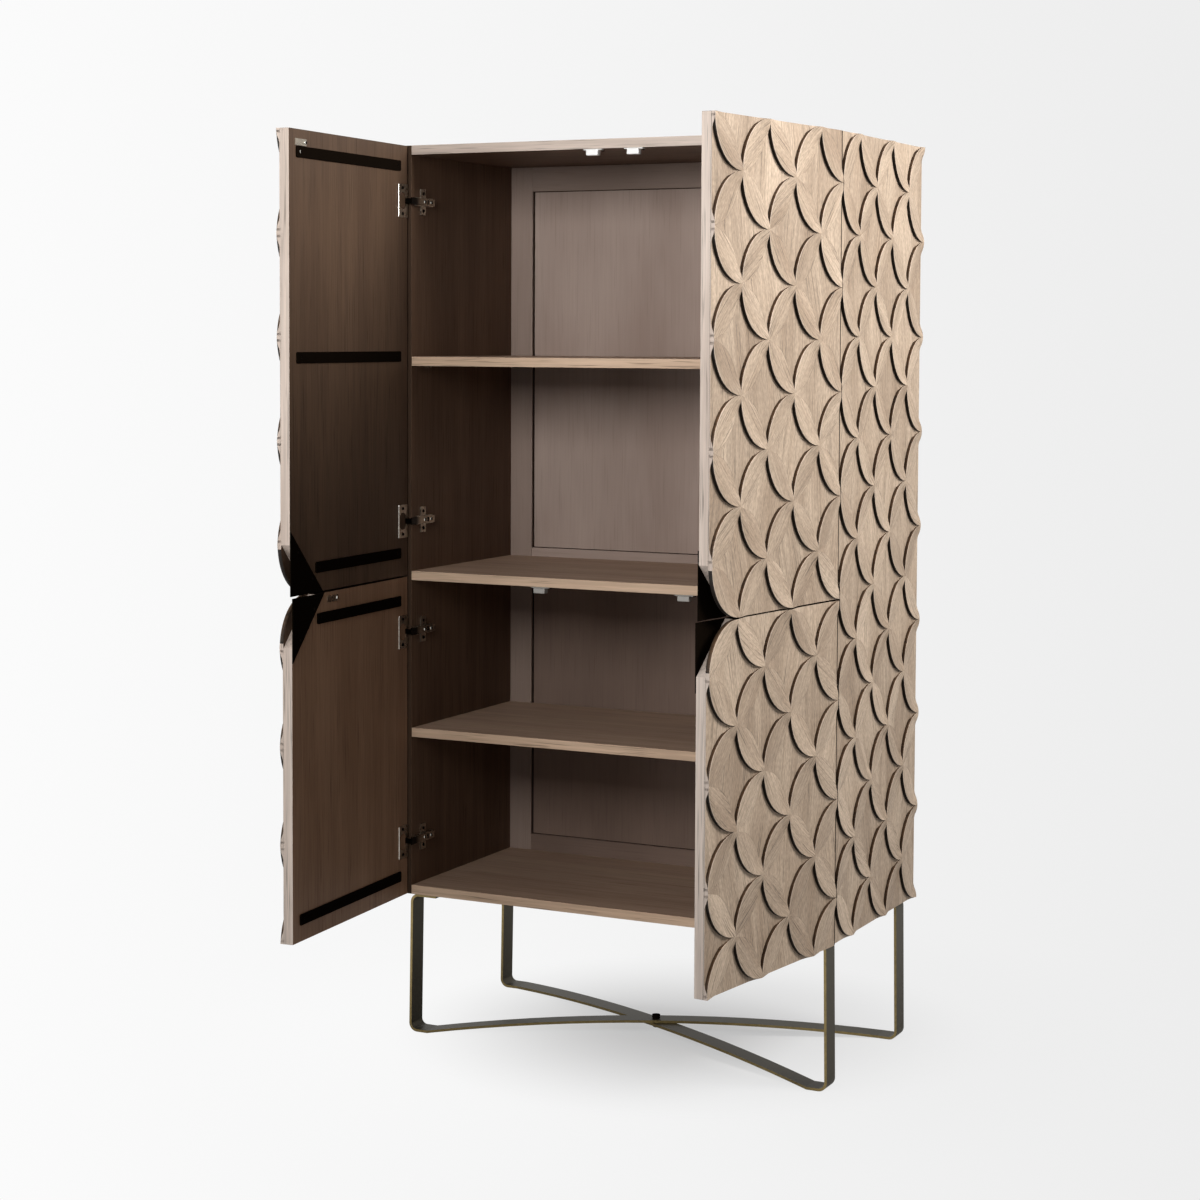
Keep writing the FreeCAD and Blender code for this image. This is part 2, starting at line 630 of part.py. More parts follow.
crossing = Vector(0, (front_leg_y + back_leg_y) / 2, 0)
bolt_seat = upper_rise + strap
nut_seat = size("arch_rise") - size("nut")
shank = Part.makeCylinder(size("bolt_radius"), bolt_seat - nut_seat + size("bolt_tail"),
                          crossing + Vector(0, 0, nut_seat - size("bolt_tail")), Z_AXIS)
bolt_head = Part.makeCylinder(size("bolt_head_radius"), size("bolt_head"),
                              crossing + Vector(0, 0, bolt_seat), Z_AXIS)
solid_piece("crossing_bolt", shank.fuse(bolt_head).removeSplitter())
HEX_SIDES = 6
corners = [Vector(size("nut_radius"), 0, 0)]
for number in range(1, HEX_SIDES + 1):
    angle = 2 * math.pi * number / HEX_SIDES
    corners.append(Vector(size("nut_radius") * math.cos(angle), size("nut_radius") * math.sin(angle), 0))
nut = Part.Face(Part.makePolygon(corners)).extrude(Vector(0, 0, size("nut")))
nut.translate(crossing + Vector(0, 0, nut_seat))
nut_bore = Part.makeCylinder(size("bolt_radius") + size("running_play"), size("nut"),
                             crossing + Vector(0, 0, nut_seat), Z_AXIS)
solid_piece("crossing_nut", nut.cut(nut_bore))

doc.recompute()
for item in doc.Objects:
    if {"Invalid", "Error"} & set(item.State):
        raise RuntimeError(f"{item.Name} failed to build")
for piece in nodes:
    if piece.Shape.isNull() or not piece.Shape.isValid():
        raise RuntimeError(f"{piece.Label} has no valid shape")

os.makedirs("parts", exist_ok=True)
for piece in nodes:
    piece.Shape.exportStep(f"parts/{piece.Label}.step")
    print(piece.Label, len(piece.Shape.Solids), "solids", round(piece.Shape.Volume))
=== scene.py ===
# %% [markdown]
# # A carved cabinet with four doors
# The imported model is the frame: every board, hinge and strap already stands where it belongs, in metres.
# This lesson dresses it. Boards get softened edges and a grain, the doors and sides get their carved
# scales, and the steel gets its rubbed finish. Nothing is moved.

# %% Load the frame
import json
import math
import random

import bmesh
import bpy
from mathutils import Matrix, Vector


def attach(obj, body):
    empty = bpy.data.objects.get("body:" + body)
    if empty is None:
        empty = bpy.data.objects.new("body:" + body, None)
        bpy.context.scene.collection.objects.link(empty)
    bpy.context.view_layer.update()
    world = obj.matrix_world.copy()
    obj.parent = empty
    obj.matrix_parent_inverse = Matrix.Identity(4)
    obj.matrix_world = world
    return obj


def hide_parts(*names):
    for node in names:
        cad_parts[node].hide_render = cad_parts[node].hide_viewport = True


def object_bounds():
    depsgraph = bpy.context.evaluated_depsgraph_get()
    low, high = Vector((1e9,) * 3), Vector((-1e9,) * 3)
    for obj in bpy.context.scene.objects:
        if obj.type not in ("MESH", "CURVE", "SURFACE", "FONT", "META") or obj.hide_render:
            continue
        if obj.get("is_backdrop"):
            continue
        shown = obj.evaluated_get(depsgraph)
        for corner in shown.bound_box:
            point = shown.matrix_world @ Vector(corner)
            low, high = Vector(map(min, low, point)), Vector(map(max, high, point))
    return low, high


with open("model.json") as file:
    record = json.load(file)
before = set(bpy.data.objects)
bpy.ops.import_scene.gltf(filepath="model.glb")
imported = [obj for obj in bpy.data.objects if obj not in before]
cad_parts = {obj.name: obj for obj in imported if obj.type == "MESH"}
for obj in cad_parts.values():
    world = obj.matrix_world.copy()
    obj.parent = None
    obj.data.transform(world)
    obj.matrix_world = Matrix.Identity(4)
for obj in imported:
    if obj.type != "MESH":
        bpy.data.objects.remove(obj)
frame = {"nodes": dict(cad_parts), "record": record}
CAD_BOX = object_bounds()
MM = 0.001
print("frame box", CAD_BOX)

# %% [markdown]
# ## Where a door's own pieces lie
# A door is easiest to model shut, measured from its hinge: x towards the hinge edge, y towards the case,
# z up. Its joint in the record holds the axis, and the closed limit of its range says how far it stands
# open. One matrix then carries a shut door to where it stands, and mirrors it for the left-hand doors.

# %% Door places
HANDS = {"left": -1, "right": 1}
LEVELS = ("upper", "lower")
JOINTS = {joint["child"]: joint for joint in frame["record"]["behaviour"]["joints"]}


def door_place(side, level):
    """Matrix from a shut right-hand door's own frame to where this door stands."""
    joint = JOINTS[f"{level}_{side}_door"]
    hand = HANDS[side]
    pivot = Vector(joint["pos_m"])
    pivot.z = 0
    swing = math.radians(-joint["range_deg"][0]) * hand
    return Matrix.Translation(pivot) @ Matrix.Rotation(swing, 4, "Z") @ Matrix.Diagonal((hand, 1, 1, 1))


def box_of(points):
    """Lowest and highest corner of some points."""
    return [Vector(pick(point[axis] for point in points) for axis in range(3)) for pick in (min, max)]


def box_in(node, place=Matrix()):
    """Lowest and highest corner of a node's mesh, seen in the place given."""
    back = place.inverted()
    return box_of([back @ vertex.co for vertex in frame["nodes"][node].data.vertices])


def mirror_to(hand):
    """Matrix that keeps the right-hand side and mirrors the left-hand one."""
    return Matrix.Diagonal((hand, 1, 1, 1))


DOORS = [(f"{level}_{side}", level, door_place(side, level)) for side in HANDS for level in LEVELS]
print([door for door, _, _ in DOORS], "doors")

# %% [markdown]
# ## Shader maths as plain expressions
# A finish is easier to read as arithmetic than as a web of nodes. This class wraps one socket; adding or
# multiplying two of them adds the Math node that does it. Any other node comes from one method.

# %% Shader helper
class Value:
    """One output socket, with the operators that the finishes use."""

    def __init__(self, finish, socket):
        self.finish = finish
        self.socket = socket

    def maths(self, operation, *others):
        inputs = {number: other for number, other in enumerate((self, *others))}
        return self.finish.node("ShaderNodeMath", {"operation": operation}, inputs)

    def __add__(self, other):
        return self.maths("ADD", other)

    def __radd__(self, other):
        return self.maths("ADD", other)

    def __sub__(self, other):
        return self.maths("SUBTRACT", other)

    def __rsub__(self, other):
        return self.finish.node("ShaderNodeMath", {"operation": "SUBTRACT"}, {0: other, 1: self})

    def __mul__(self, other):
        return self.maths("MULTIPLY", other)

    def __rmul__(self, other):
        return self.maths("MULTIPLY", other)

    def between(self, low, high):
        """0 below low, 1 above high, smooth in between."""
        return self.finish.node("ShaderNodeMapRange", {"interpolation_type": "SMOOTHSTEP"},
                                {"Value": self, "From Min": low, "From Max": high})


class Finish:
    """A material built from a Principled shader."""

    def __init__(self, name, **settings):
        self.material = bpy.data.materials.new(name)
        self.material.use_nodes = True
        self.tree = self.material.node_tree
        self.shader = self.tree.nodes["Principled BSDF"]
        for socket, value in settings.items():
            self.set(socket.title(), value)

    def set(self, socket, value):
        target = self.shader.inputs[socket]
        if isinstance(value, Value):
            self.tree.links.new(value.socket, target)
        else:
            target.default_value = value

    def node(self, kind, settings=None, inputs=None, output=0):
        node = self.tree.nodes.new(kind)
        for name, value in (settings or {}).items():
            setattr(node, name, value)
        for name, value in (inputs or {}).items():
            if isinstance(value, Value):
                self.tree.links.new(value.socket, node.inputs[name])
            else:
                node.inputs[name].default_value = value
        return Value(self, node.outputs[output])

    def mix(self, factor, low, high):
        """Colour between two others."""
        return self.node("ShaderNodeMix", {"data_type": "RGBA"}, {0: factor, 6: low, 7: high}, output=2)

    def tint(self, colour, factor):
        """Colour made darker or lighter by a number."""
        vector = colour if isinstance(colour, Value) else colour[:3]
        return self.node("ShaderNodeVectorMath", {"operation": "SCALE"}, {0: vector, "Scale": factor})

    def object_place(self):
        return self.node("ShaderNodeTexCoord", output=3)

    def mapped(self, vector, scale=(1, 1, 1), rotation=(0, 0, 0)):
        return self.node("ShaderNodeMapping", None, {"Vector": vector, "Scale": scale, "Rotation": rotation})

    def noise(self, vector, scale, detail=4, roughness=0.5, distortion=0):
        return self.node("ShaderNodeTexNoise", None, {"Vector": vector, "Scale": scale, "Detail": detail,
                                                      "Roughness": roughness, "Distortion": distortion})

    def axis(self, vector, number):
        """One of a vector's three parts."""
        return self.node("ShaderNodeSeparateXYZ", None, {0: vector}, output=number)

    def facing(self):
        """The way the surface looks."""
        return self.node("ShaderNodeNewGeometry", output=1)

    def bump(self, height, strength, distance):
        self.set("Normal", self.node("ShaderNodeBump", None,
                                     {"Height": height, "Strength": strength, "Distance": distance}))


def srgb(red, green, blue):
    """Linear colour from the 0 to 255 values of a screen."""
    def linear(level):
        level /= 255
        return level / 12.92 if level <= 0.04045 else ((level + 0.055) / 1.055) ** 2.4
    return (linear(red), linear(green), linear(blue), 1)


print("mid grey in linear light", srgb(128, 128, 128))

# %% [markdown]
# ## Wood
# The cabinet looks like a pale close-grained hardwood under a thin taupe wash. Along the grain the colour
# hardly changes, across it runs in soft streaks, and short dark pores and fine fibres follow it. A noise
# stretched along one axis gives each of them and, unlike a picture of wood, never repeats. Each finish
# passes its own coordinates, so the grain can run along each board.

# %% Wood finish
STREAK_SCALE = (0.9, 26, 26)
CLOUD_SCALE = (2.2, 5, 5)
PORE_SCALE = (9, 420, 420)
FIBRE_SCALE = (5, 210, 210)
SPREAD = (0.3, 0.7)
STREAK_SPREAD = (0.3, 0.72)
PORE_SPREAD = (0.56, 0.72)
FIBRE_STRENGTH = 0.2
PORE_ROUGHNESS = 0.2
GRAIN_DEPTH = 0.4 * MM


def wood_colour(finish, place, pale, deep, streak_strength, pore_strength, fibre_strength=FIBRE_STRENGTH):
    """Streaked colour, pore mask and streaks along the place's X axis."""
    streaks = finish.noise(finish.mapped(place, STREAK_SCALE), 1.0, 5, 0.6, 0.4)
    clouds = finish.noise(finish.mapped(place, CLOUD_SCALE), 1.0, 3, 0.5)
    pores = finish.noise(finish.mapped(place, PORE_SCALE), 1.0, 2, 0.5).between(*PORE_SPREAD)
    streaked, clouded = streaks.between(*STREAK_SPREAD), clouds.between(*SPREAD)
    blend = streaked * streak_strength + clouded * (1 - streak_strength)
    fibres = finish.noise(finish.mapped(place, FIBRE_SCALE), 1.0, 3, 0.6).between(*SPREAD)
    shade = (1 - pores * pore_strength) * (1 + fibre_strength * (fibres - 0.5))
    return finish.tint(finish.mix(blend, deep, pale), shade), pores, streaks


print("streaks", STREAK_SCALE, "pores", PORE_SCALE)

# %% [markdown]
# ## Stains
# The stain is dark and brown inside, greyer on the back and pale on the edges, and boards differ a little.
# Some stains are painted light and shade: the upper doors' inner faces darker and the lower doors' lighter,
# the low back darker towards the bottom, the shelf tops paler than their undersides as lit from above, and
# the faces in the gaps dark. The back is mottled like rubbed plywood, with hardly a streak, so its stains are
# marked as calm. Each stain names its pale and deep colour, the strength of its pores and its gloss. One
# table keeps them side by side, where they are easy to compare.

# %% Stained boards
GRAIN_TURNS = {"x": (0, 0, 0), "z": (0, math.pi / 2, 0)}
LIVELY, CALM = (0.55, FIBRE_STRENGTH, 0.25), (0.12, 0.05, 0.05)
BOARD_ROUGHNESS = 0.55


def board_wood(name, grain, pale, deep, pore_strength, gloss, character=LIVELY):
    """Stained board with its grain along one axis; the character is streaks, fibres and relief."""
    finish = Finish(name)
    finish.set("Specular IOR Level", gloss)
    place = finish.mapped(finish.object_place(), rotation=GRAIN_TURNS[grain])
    streak_strength, fibre_strength, relief = character
    colour, pores, streaks = wood_colour(finish, place, pale, deep, streak_strength, pore_strength,
                                         fibre_strength)
    finish.set("Base Color", colour)
    finish.set("Roughness", BOARD_ROUGHNESS + pores * PORE_ROUGHNESS)
    finish.bump(streaks * 0.4 - pores, relief, GRAIN_DEPTH)
    return finish.material


STAINS = {
    "inside": (srgb(104, 80, 62), srgb(82, 60, 45), 0.35, 0.2),
    # Painted light and shade: the upper doors' inner faces are stained darker and the lower doors' lighter,
    # to stand in for the light that reaches them.
    "upper_door": (srgb(85, 65, 49), srgb(68, 50, 37), 0.35, 0.2),
    "lower_door": (srgb(154, 121, 96), srgb(128, 97, 74), 0.35, 0.2),
    "back": (srgb(177, 158, 147), srgb(155, 135, 124), 0.1, 0.2, CALM),
    "back_frame": (srgb(156, 137, 126), srgb(137, 119, 108), 0.1, 0.2, CALM),
    # Painted shade: the lower back is stained darker, to stand in for the light fading towards the bottom.
    "shaded_low_back": (srgb(138, 117, 105), srgb(120, 101, 90), 0.1, 0.2, CALM),
    # Painted light: shelf tops are stained paler than their undersides, as lit from above.
    "shelf": (srgb(190, 161, 139), srgb(166, 137, 117), 0.3, 0.2),
    "edge": (srgb(218, 203, 191), srgb(188, 170, 157), 0.5, 0.2),
    "shelf_edge": (srgb(218, 190, 163), srgb(186, 157, 132), 0.5, 0.2),
    # Painted shade for the sides' front edges, in the gap behind the doors.
    "reveal_shade": (srgb(72, 55, 42), srgb(58, 43, 32), 0.35, 0.1),
    # Painted shade: near black for the faces in the gaps and seams, also dark end grain.
    "end_grain_and_gap_shade": (srgb(40, 30, 23), srgb(26, 18, 13), 0.3, 0.0),
}
WOOD = {(stain, grain): board_wood(f"{stain}_wood_{grain}", grain, *STAINS[stain])
        for stain in STAINS for grain in GRAIN_TURNS}
print(len(WOOD), "stained woods")

# %% [markdown]
# ## Carved wood
# The carving has pale faces and walls painted dark with shade. Each scale below carries five marks on its
# points: its petal's tone, its height, its rim, the crease at the petal's foot and the band under the next
# rim. The face finish darkens and lightens by them: the tone varies at random, the rim gets a painted
# highlight, and the crease and the band under the next rim get painted shade. The wall finish is painted
# shade, nearly black where it looks down, brown where it looks up and darker towards its foot. Marks follow
# the shape exactly, which a painted picture would not.

# %% Carved finish
MARKS = ("tone", "rise", "rim", "crease", "under_rim_shade")
CARVED_PALE, CARVED_DEEP = srgb(193, 172, 150), srgb(144, 123, 103)
# Painted highlight along the rims of the scales.
RIM_HIGHLIGHT = srgb(214, 196, 178)
WALL_BROWN = (1, 0.74, 0.52, 1)
CARVED_GLOSS = 0.3
FLECK_SCALE = (100, 320, 320)
# Painted shade on the walls: nearly black looking down, lighter looking up.
WALL_SHADE, WALL_LIT = 0.02, 0.28
CREASE_SHADE, POOL_SHADE, RIM_HIGHLIGHT_SHARE = 0.35, 0.8, 0.4


def wall_colour(finish, colour, shade, rise):
    """Colour of the step beside a rim, with painted shade: nearly black looking down, brown looking up,
    darker at its foot.
    """
    lit_from_above = finish.axis(finish.facing(), 2).between(-0.1, 0.6)
    shade = shade * (WALL_SHADE + WALL_LIT * lit_from_above * (0.3 + 0.7 * rise))
    return finish.node("ShaderNodeMix", {"data_type": "RGBA", "blend_type": "MULTIPLY"},
                       {0: 1.0, 6: finish.tint(colour, shade), 7: WALL_BROWN}, output=2)


def face_colour(finish, colour, shade, mark):
    """Colour of a petal or of the ground, with painted shade in its crease and under the next rim, and a
    painted highlight on its rim.
    """
    crease = mark["crease"].between(0.75, 1)
    under_rim_shade = mark["under_rim_shade"].between(0.35, 1)
    shade = shade * (1 - CREASE_SHADE * crease) * (1 - POOL_SHADE * under_rim_shade)
    return finish.mix(mark["rim"].between(0.4, 1) * RIM_HIGHLIGHT_SHARE, finish.tint(colour, shade), RIM_HIGHLIGHT)


def carved_wood(name, wall):
    """Finish of the carved faces, or of the walls between them."""
    finish = Finish(name)
    finish.set("Specular IOR Level", CARVED_GLOSS)
    grain = finish.node("ShaderNodeUVMap", {"uv_map": "grain"})
    mark = {label: finish.node("ShaderNodeAttribute", {"attribute_name": label}, output=2) for label in MARKS}
    colour, pores, streaks = wood_colour(finish, grain, CARVED_PALE, CARVED_DEEP, 0.5, 0.6)
    flecks = finish.noise(finish.mapped(grain, FLECK_SCALE), 1.0, 3, 0.6).between(*SPREAD)
    shade = (0.94 + 0.12 * mark["tone"]) * (0.8 + 0.38 * flecks)
    if wall:
        colour = wall_colour(finish, colour, shade, mark["rise"])
    else:
        colour = face_colour(finish, colour, shade, mark)
    finish.set("Base Color", colour)
    finish.set("Roughness", 0.6 + pores * PORE_ROUGHNESS)
    finish.bump(streaks * 0.5 - pores, 0.3, GRAIN_DEPTH)
    return finish.material


CARVED_FACE = carved_wood("carved_face", False)
CARVED_WALL = carved_wood("carved_wall", True)
print("carved finishes with", len(MARKS), "marks")

# %% [markdown]
# ## One scale
# The carved faces carry a traditional pattern of overlapping circles. Each circle is a scale: its left
# rim stands proud, two petals slope from that rim down to a flat diamond in the middle, and the right
# side slips under the next two scales. Where four scales meet, at the diamond's tips, the wood is left at
# full height, so the dark steps run out there. Displacing a plane would smear those steps. So one scale
# is a flat grid whose columns are laid between the rim, the foot of the petals and the rims of the scales
# that cover it. Its points are lifted, and extruding the sheet gives it walls. Each petal draws its own
# grain direction and tone.

# %% One scale
RIM_STEPS = 28
PETAL_SHARES = (0, 0.02, 0.05, 0.25, 0.5, 0.75, 0.94, 1)
RIM_DROPS = {0: 0.12, 1: 0.03}
PETAL_END = len(PETAL_SHARES) - 1
GROUND_STEPS = 12
SCALE_COLUMNS = PETAL_END + GROUND_STEPS
TIP_REACH = 0.25
UNDERLAP = 0.004
# Width of the band of painted shade under the next rim.
POOL = 0.032
LIT_SIDE_SHADE = 0.55
TIPS = [Vector(tip) for tip in ((0, 1), (0, -1), (-1, 0), (1, 0))]
GRAIN_LEANS = {"ground": math.pi / 2, "upper": math.pi / 4, "lower": -math.pi / 4}
GRAIN_WANDER = 0.3
VENEER_SPAN = 9
WELD = 0.02 * MM
FACE_SLOT, WALL_SLOT, EDGE_SLOT, BASE_SLOT, SHADE_SLOT = range(5)
draw = random.Random(11)


def tip_height(spot):
    """Share of the full height near the diamond's tips, 0 on its flat middle."""
    return max(max(0, 1 - ((spot - tip).length / TIP_REACH) ** 2) for tip in TIPS)


def scale_spot(column, up):
    """Place and height of one grid point, in pitches from the scale's middle and shares of the relief."""
    inward = math.sqrt(max(0, 1 - (1 - abs(up)) ** 2))
    rim, foot, cover = -math.sqrt(max(0, 1 - up * up)), inward - 1, 1 - inward + UNDERLAP
    if column <= PETAL_END:
        share = PETAL_SHARES[column]
        spot = Vector((rim + share * (foot - rim), up))
        ground = tip_height(spot)
        return spot, ground + (1 - ground) * (1 - share) - RIM_DROPS.get(column, 0)
    step = column - PETAL_END
    shore = max(foot, cover - POOL)
    across = cover if step == GROUND_STEPS else foot + step / (GROUND_STEPS - 1) * (shore - foot)
    spot = Vector((across, up))
    return spot, tip_height(spot)


def mark_point(vertex, layers, column, up, rise, tones):
    """Write one point's marks for the carved finish."""
    petal = "upper" if up > 0 else "lower"
    vertex[layers["tone"]] = tones[petal if column < PETAL_END else "ground"]
    vertex[layers["rise"]] = rise
    # The rim mark carries a painted highlight.
    vertex[layers["rim"]] = 1 if column < 2 else 0
    vertex[layers["crease"]] = 1 if column == PETAL_END else 0
    # Painted shade on the ground under the next rim, deeper where the ground is low and weaker on the lower
    # half.
    vertex[layers["under_rim_shade"]] = (1 - rise) * (1 if up > 0 else LIT_SIDE_SHADE) if column == SCALE_COLUMNS else 0


def lay_scale(mesh, layers, middle, pitch, ground, crest):
    """Sheet of one scale about its middle, in the skin's own flat frame: x across, y up, z outwards."""
    new = bmesh.ops.create_grid(mesh, x_segments=SCALE_COLUMNS, y_segments=RIM_STEPS, size=1)["verts"]
    faces = list({face for vertex in new for face in vertex.link_faces})
    turns = {part: lean + draw.uniform(-GRAIN_WANDER, GRAIN_WANDER) for part, lean in GRAIN_LEANS.items()}
    tones = {part: draw.random() for part in turns}
    offset = Vector((draw.uniform(0, VENEER_SPAN), draw.uniform(0, VENEER_SPAN)))
    part_of = {}
    for face in faces:
        centre = face.calc_center_median()
        petal = (centre.x + 1) / 2 * SCALE_COLUMNS < PETAL_END
        part_of[face] = ("upper" if centre.y > 0 else "lower") if petal else "ground"
    foot_points = set()
    for vertex in new:
        column = round((vertex.co.x + 1) / 2 * SCALE_COLUMNS)
        up = math.sin(vertex.co.y * math.pi / 2)
        spot, rise = scale_spot(column, up)
        mark_point(vertex, layers, column, up, rise, tones)
        if column == PETAL_END:
            foot_points.add(vertex)
        vertex.co = Vector((middle.x + spot.x * pitch.x, middle.y + spot.y * pitch.y,
                            ground + (crest - ground) * rise))
    for vertex in foot_points:
        for edge in vertex.link_edges:
            edge.smooth = edge.other_vert(vertex) not in foot_points
    for face, part in part_of.items():
        for loop in face.loops:
            loop[layers["grain"]].uv = Matrix.Rotation(-turns[part], 2) @ (loop.vert.co.xy - middle) + offset
    bmesh.ops.remove_doubles(mesh, verts=new, dist=WELD)
    return [face for face in faces if face.is_valid]


def wall_scale(mesh, layers, faces):
    """Extrude a sheet down to the skin's back, which gives the scale its walls and its base."""
    walls = bmesh.ops.extrude_face_region(mesh, geom=faces, use_keep_orig=True)["geom"]
    lowered = {item for item in walls if isinstance(item, bmesh.types.BMVert)}
    for vertex in lowered:
        vertex.co.z = 0
        for label in ("rise", "rim", "under_rim_shade"):
            vertex[layers[label]] = 0
    for face in {face for vertex in lowered for face in vertex.link_faces} | set(faces):
        sunk = sum(vertex in lowered for vertex in face.verts)
        step = 0 < sunk < len(face.verts)
        face.material_index = WALL_SLOT if step else BASE_SLOT if sunk else FACE_SLOT
        face.smooth = True
        for edge in face.edges:
            if step and not any(vertex in lowered for vertex in edge.verts):
                edge.smooth = False


print("a scale has", SCALE_COLUMNS, "by", RIM_STEPS, "cells")

# %% [markdown]
# ## Putting pieces in place
# Every piece is modelled in the frame that suits it. Its place is then baked into its points, so each
# object stands at the origin and its finish reads the cabinet's own coordinates. It rides on the body
# that carries it.

# %% Pieces
def mesh_data(mesh, name, materials):
    """Turn a working mesh into mesh data with its materials."""
    data = bpy.data.meshes.new(name)
    mesh.to_mesh(data)
    mesh.free()
    for material in materials:
        data.materials.append(material)
    return data


def put(data, place, body, node=None):
    """Bake a place into a mesh, make it an object of the scene, and let it ride on a body."""
    data.transform(place)
    if place.determinant() < 0:
        data.flip_normals()
    piece = bpy.data.objects.new(data.name, data)
    bpy.context.scene.collection.objects.link(piece)
    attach(piece, body)
    if node:
        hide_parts(node)


print(len(frame["nodes"]), "nodes to dress")

# %% [markdown]
# ## A carved skin
# The scales of one skin sit on a lattice: a scale is centred wherever its column and row add up to an even
# number, counted from the line where upper and lower doors meet. Those on the border are cut off square with
# bisect_plane, which carries the marks over to the new points. The ones at the doors' meeting corner keep
# their round rim, which is the finger lip. Towards the hinge a door's relief is held lower, and its edge
# stands back a little. The cuts along the seam between door and side and along the doors' meeting edge are
# filled near black, as painted shade of those gaps.

# %% Carved skin
COLUMNS = 5
DOOR_ROWS = {"upper": 9, "lower": 7}
SIDE_ROWS = 16
GROUND_SHARE = 0.16
HINGE_SLOPE = 48 * MM
HINGE_SHARE = 0.61
FREE_INSET = 0.45 * MM
SEAM_INSET = 6.0 * MM
CUT_TOLERANCE = 1e-7


def trim_skin(mesh, width, height, right_inset, dark):
    """Cut a skin off square at its four borders and close the cuts, some of them painted near black as gap
    shade.
    """
    borders = (("left", (FREE_INSET, 0, 0), (-1, 0, 0)), ("right", (width - right_inset, 0, 0), (1, 0, 0)),
               ("foot", (0, 0, 0), (0, -1, 0)), ("head", (0, height, 0), (0, 1, 0)))
    for side, point, normal in borders:
        everything = mesh.verts[:] + mesh.edges[:] + mesh.faces[:]
        bmesh.ops.bisect_plane(mesh, geom=everything, dist=CUT_TOLERANCE, plane_co=point, plane_no=normal,
                               clear_outer=True)
        rims = [edge for edge in mesh.edges if edge.is_boundary]
        bmesh.ops.edgeloop_fill(mesh, edges=rims, mat_nr=SHADE_SLOT if side in dark else EDGE_SLOT,
                                use_smooth=False)
    bmesh.ops.recalc_face_normals(mesh, faces=mesh.faces[:])


def carved_skin(name, span, rows, parity, corner=None):
    """Skin in its flat frame, from 0 to the span; a door leaves out the scale at its corner row."""
    width, height, depth = span
    mesh = bmesh.new()
    layers = {label: mesh.verts.layers.float.new(label) for label in MARKS}
    layers["grain"] = mesh.loops.layers.uv.new("grain")
    pitch = Vector((width / COLUMNS, height / rows))
    for column in range(COLUMNS + 1):
        for row in range(rows + 1):
            if (column + row) % 2 != parity or (column == 0 and row == corner):
                continue
            middle = Vector((column * pitch.x, row * pitch.y))
            wall_scale(mesh, layers, lay_scale(mesh, layers, middle, pitch, depth * GROUND_SHARE, depth))
    if corner is None:
        trim_skin(mesh, width, height, 0, {"left"})
    else:
        for vertex in mesh.verts:
            inland = max(0, min(1, (width - vertex.co.x) / HINGE_SLOPE))
            vertex.co.z = min(vertex.co.z, depth * (HINGE_SHARE + (1 - HINGE_SHARE) * inland))
        trim_skin(mesh, width, height, SEAM_INSET, {"right", "foot" if corner == 0 else "head"})
    return mesh_data(mesh, name, (CARVED_FACE, CARVED_WALL, WOOD["edge", "z"], WOOD["inside", "z"],
                                  WOOD["end_grain_and_gap_shade", "z"]))


print("skins of", COLUMNS, "columns")

# %% [markdown]
# ## Skins on the doors and the sides
# A door's skin is measured from its free edge, with its back on the board. A side's skin is measured from
# the front, and the left one is the mirror image of the right. Each is modelled flat, where the lattice
# is simple, and one matrix stands it up.

# %% Skins
FLAT_TO_DOOR = Matrix(((1, 0, 0, 0), (0, 0, -1, 0), (0, 1, 0, 0), (0, 0, 0, 1)))
for door, level, place in DOORS:
    node = f"{door}_door_carving"
    low, high = box_in(node, place)
    rows = DOOR_ROWS[level]
    meeting_row = 0 if level == "upper" else rows
    data = carved_skin(f"{door}_scales", (high - low).xzy, rows, meeting_row % 2, meeting_row)
    stand = place @ Matrix.Translation((low.x, high.y, low.z)) @ FLAT_TO_DOOR
    put(data, stand, f"{door}_door", node)
    print(data.name, len(data.polygons), "faces")

FLAT_TO_SIDE = Matrix(((0, 0, 1, 0), (1, 0, 0, 0), (0, 1, 0, 0), (0, 0, 0, 1)))
for side, hand in HANDS.items():
    node = f"{side}_side_carving"
    low, high = box_in(node, mirror_to(hand))
    data = carved_skin(f"{side}_side_scales", (high - low).yzx, SIDE_ROWS, 0)
    put(data, mirror_to(hand) @ Matrix.Translation(low) @ FLAT_TO_SIDE, "case", node)
    print(data.name, len(data.polygons), "faces")

# %% [markdown]
# ## Blocks with softened edges
# Sawn boards have their sharp corners rubbed off, and that thin round catches the light. Each board is a
# cube stretched to the box of its solid and bevelled all round. The faces then take a stain by the way
# they look, which needs no unwrapping.

# %% Blocks
SOFT_EDGE = 0.8 * MM
SHARP = 0.5
LOOKS_THAT_WAY = 0.6
DIRECTIONS = {"-x": (-1, 0, 0), "+x": (1, 0, 0), "-y": (0, -1, 0), "+y": (0, 1, 0),
              "-z": (0, 0, -1), "+z": (0, 0, 1)}


def softened(mesh, offset, segments=2):
    """Round every sharp edge."""
    sharp = [edge for edge in mesh.edges if edge.is_manifold and edge.calc_face_angle() > SHARP]
    bmesh.ops.bevel(mesh, geom=sharp, offset=offset, offset_type="OFFSET", affect="EDGES", segments=segments,
                    profile=0.5, material=-1, clamp_overlap=True)


def stained(mesh, name, rest, finishes=None):
    """Mesh data whose faces take a finish by direction, a later one first; the others take the rest's."""
    finishes = finishes or {}
    bmesh.ops.recalc_face_normals(mesh, faces=mesh.faces[:])
    for face in mesh.faces:
        face.material_index = len(finishes)
        for number, way in enumerate(finishes):
            if face.normal.dot(Vector(DIRECTIONS[way])) > LOOKS_THAT_WAY:
                face.material_index = number
    return mesh_data(mesh, name, (*finishes.values(), rest))


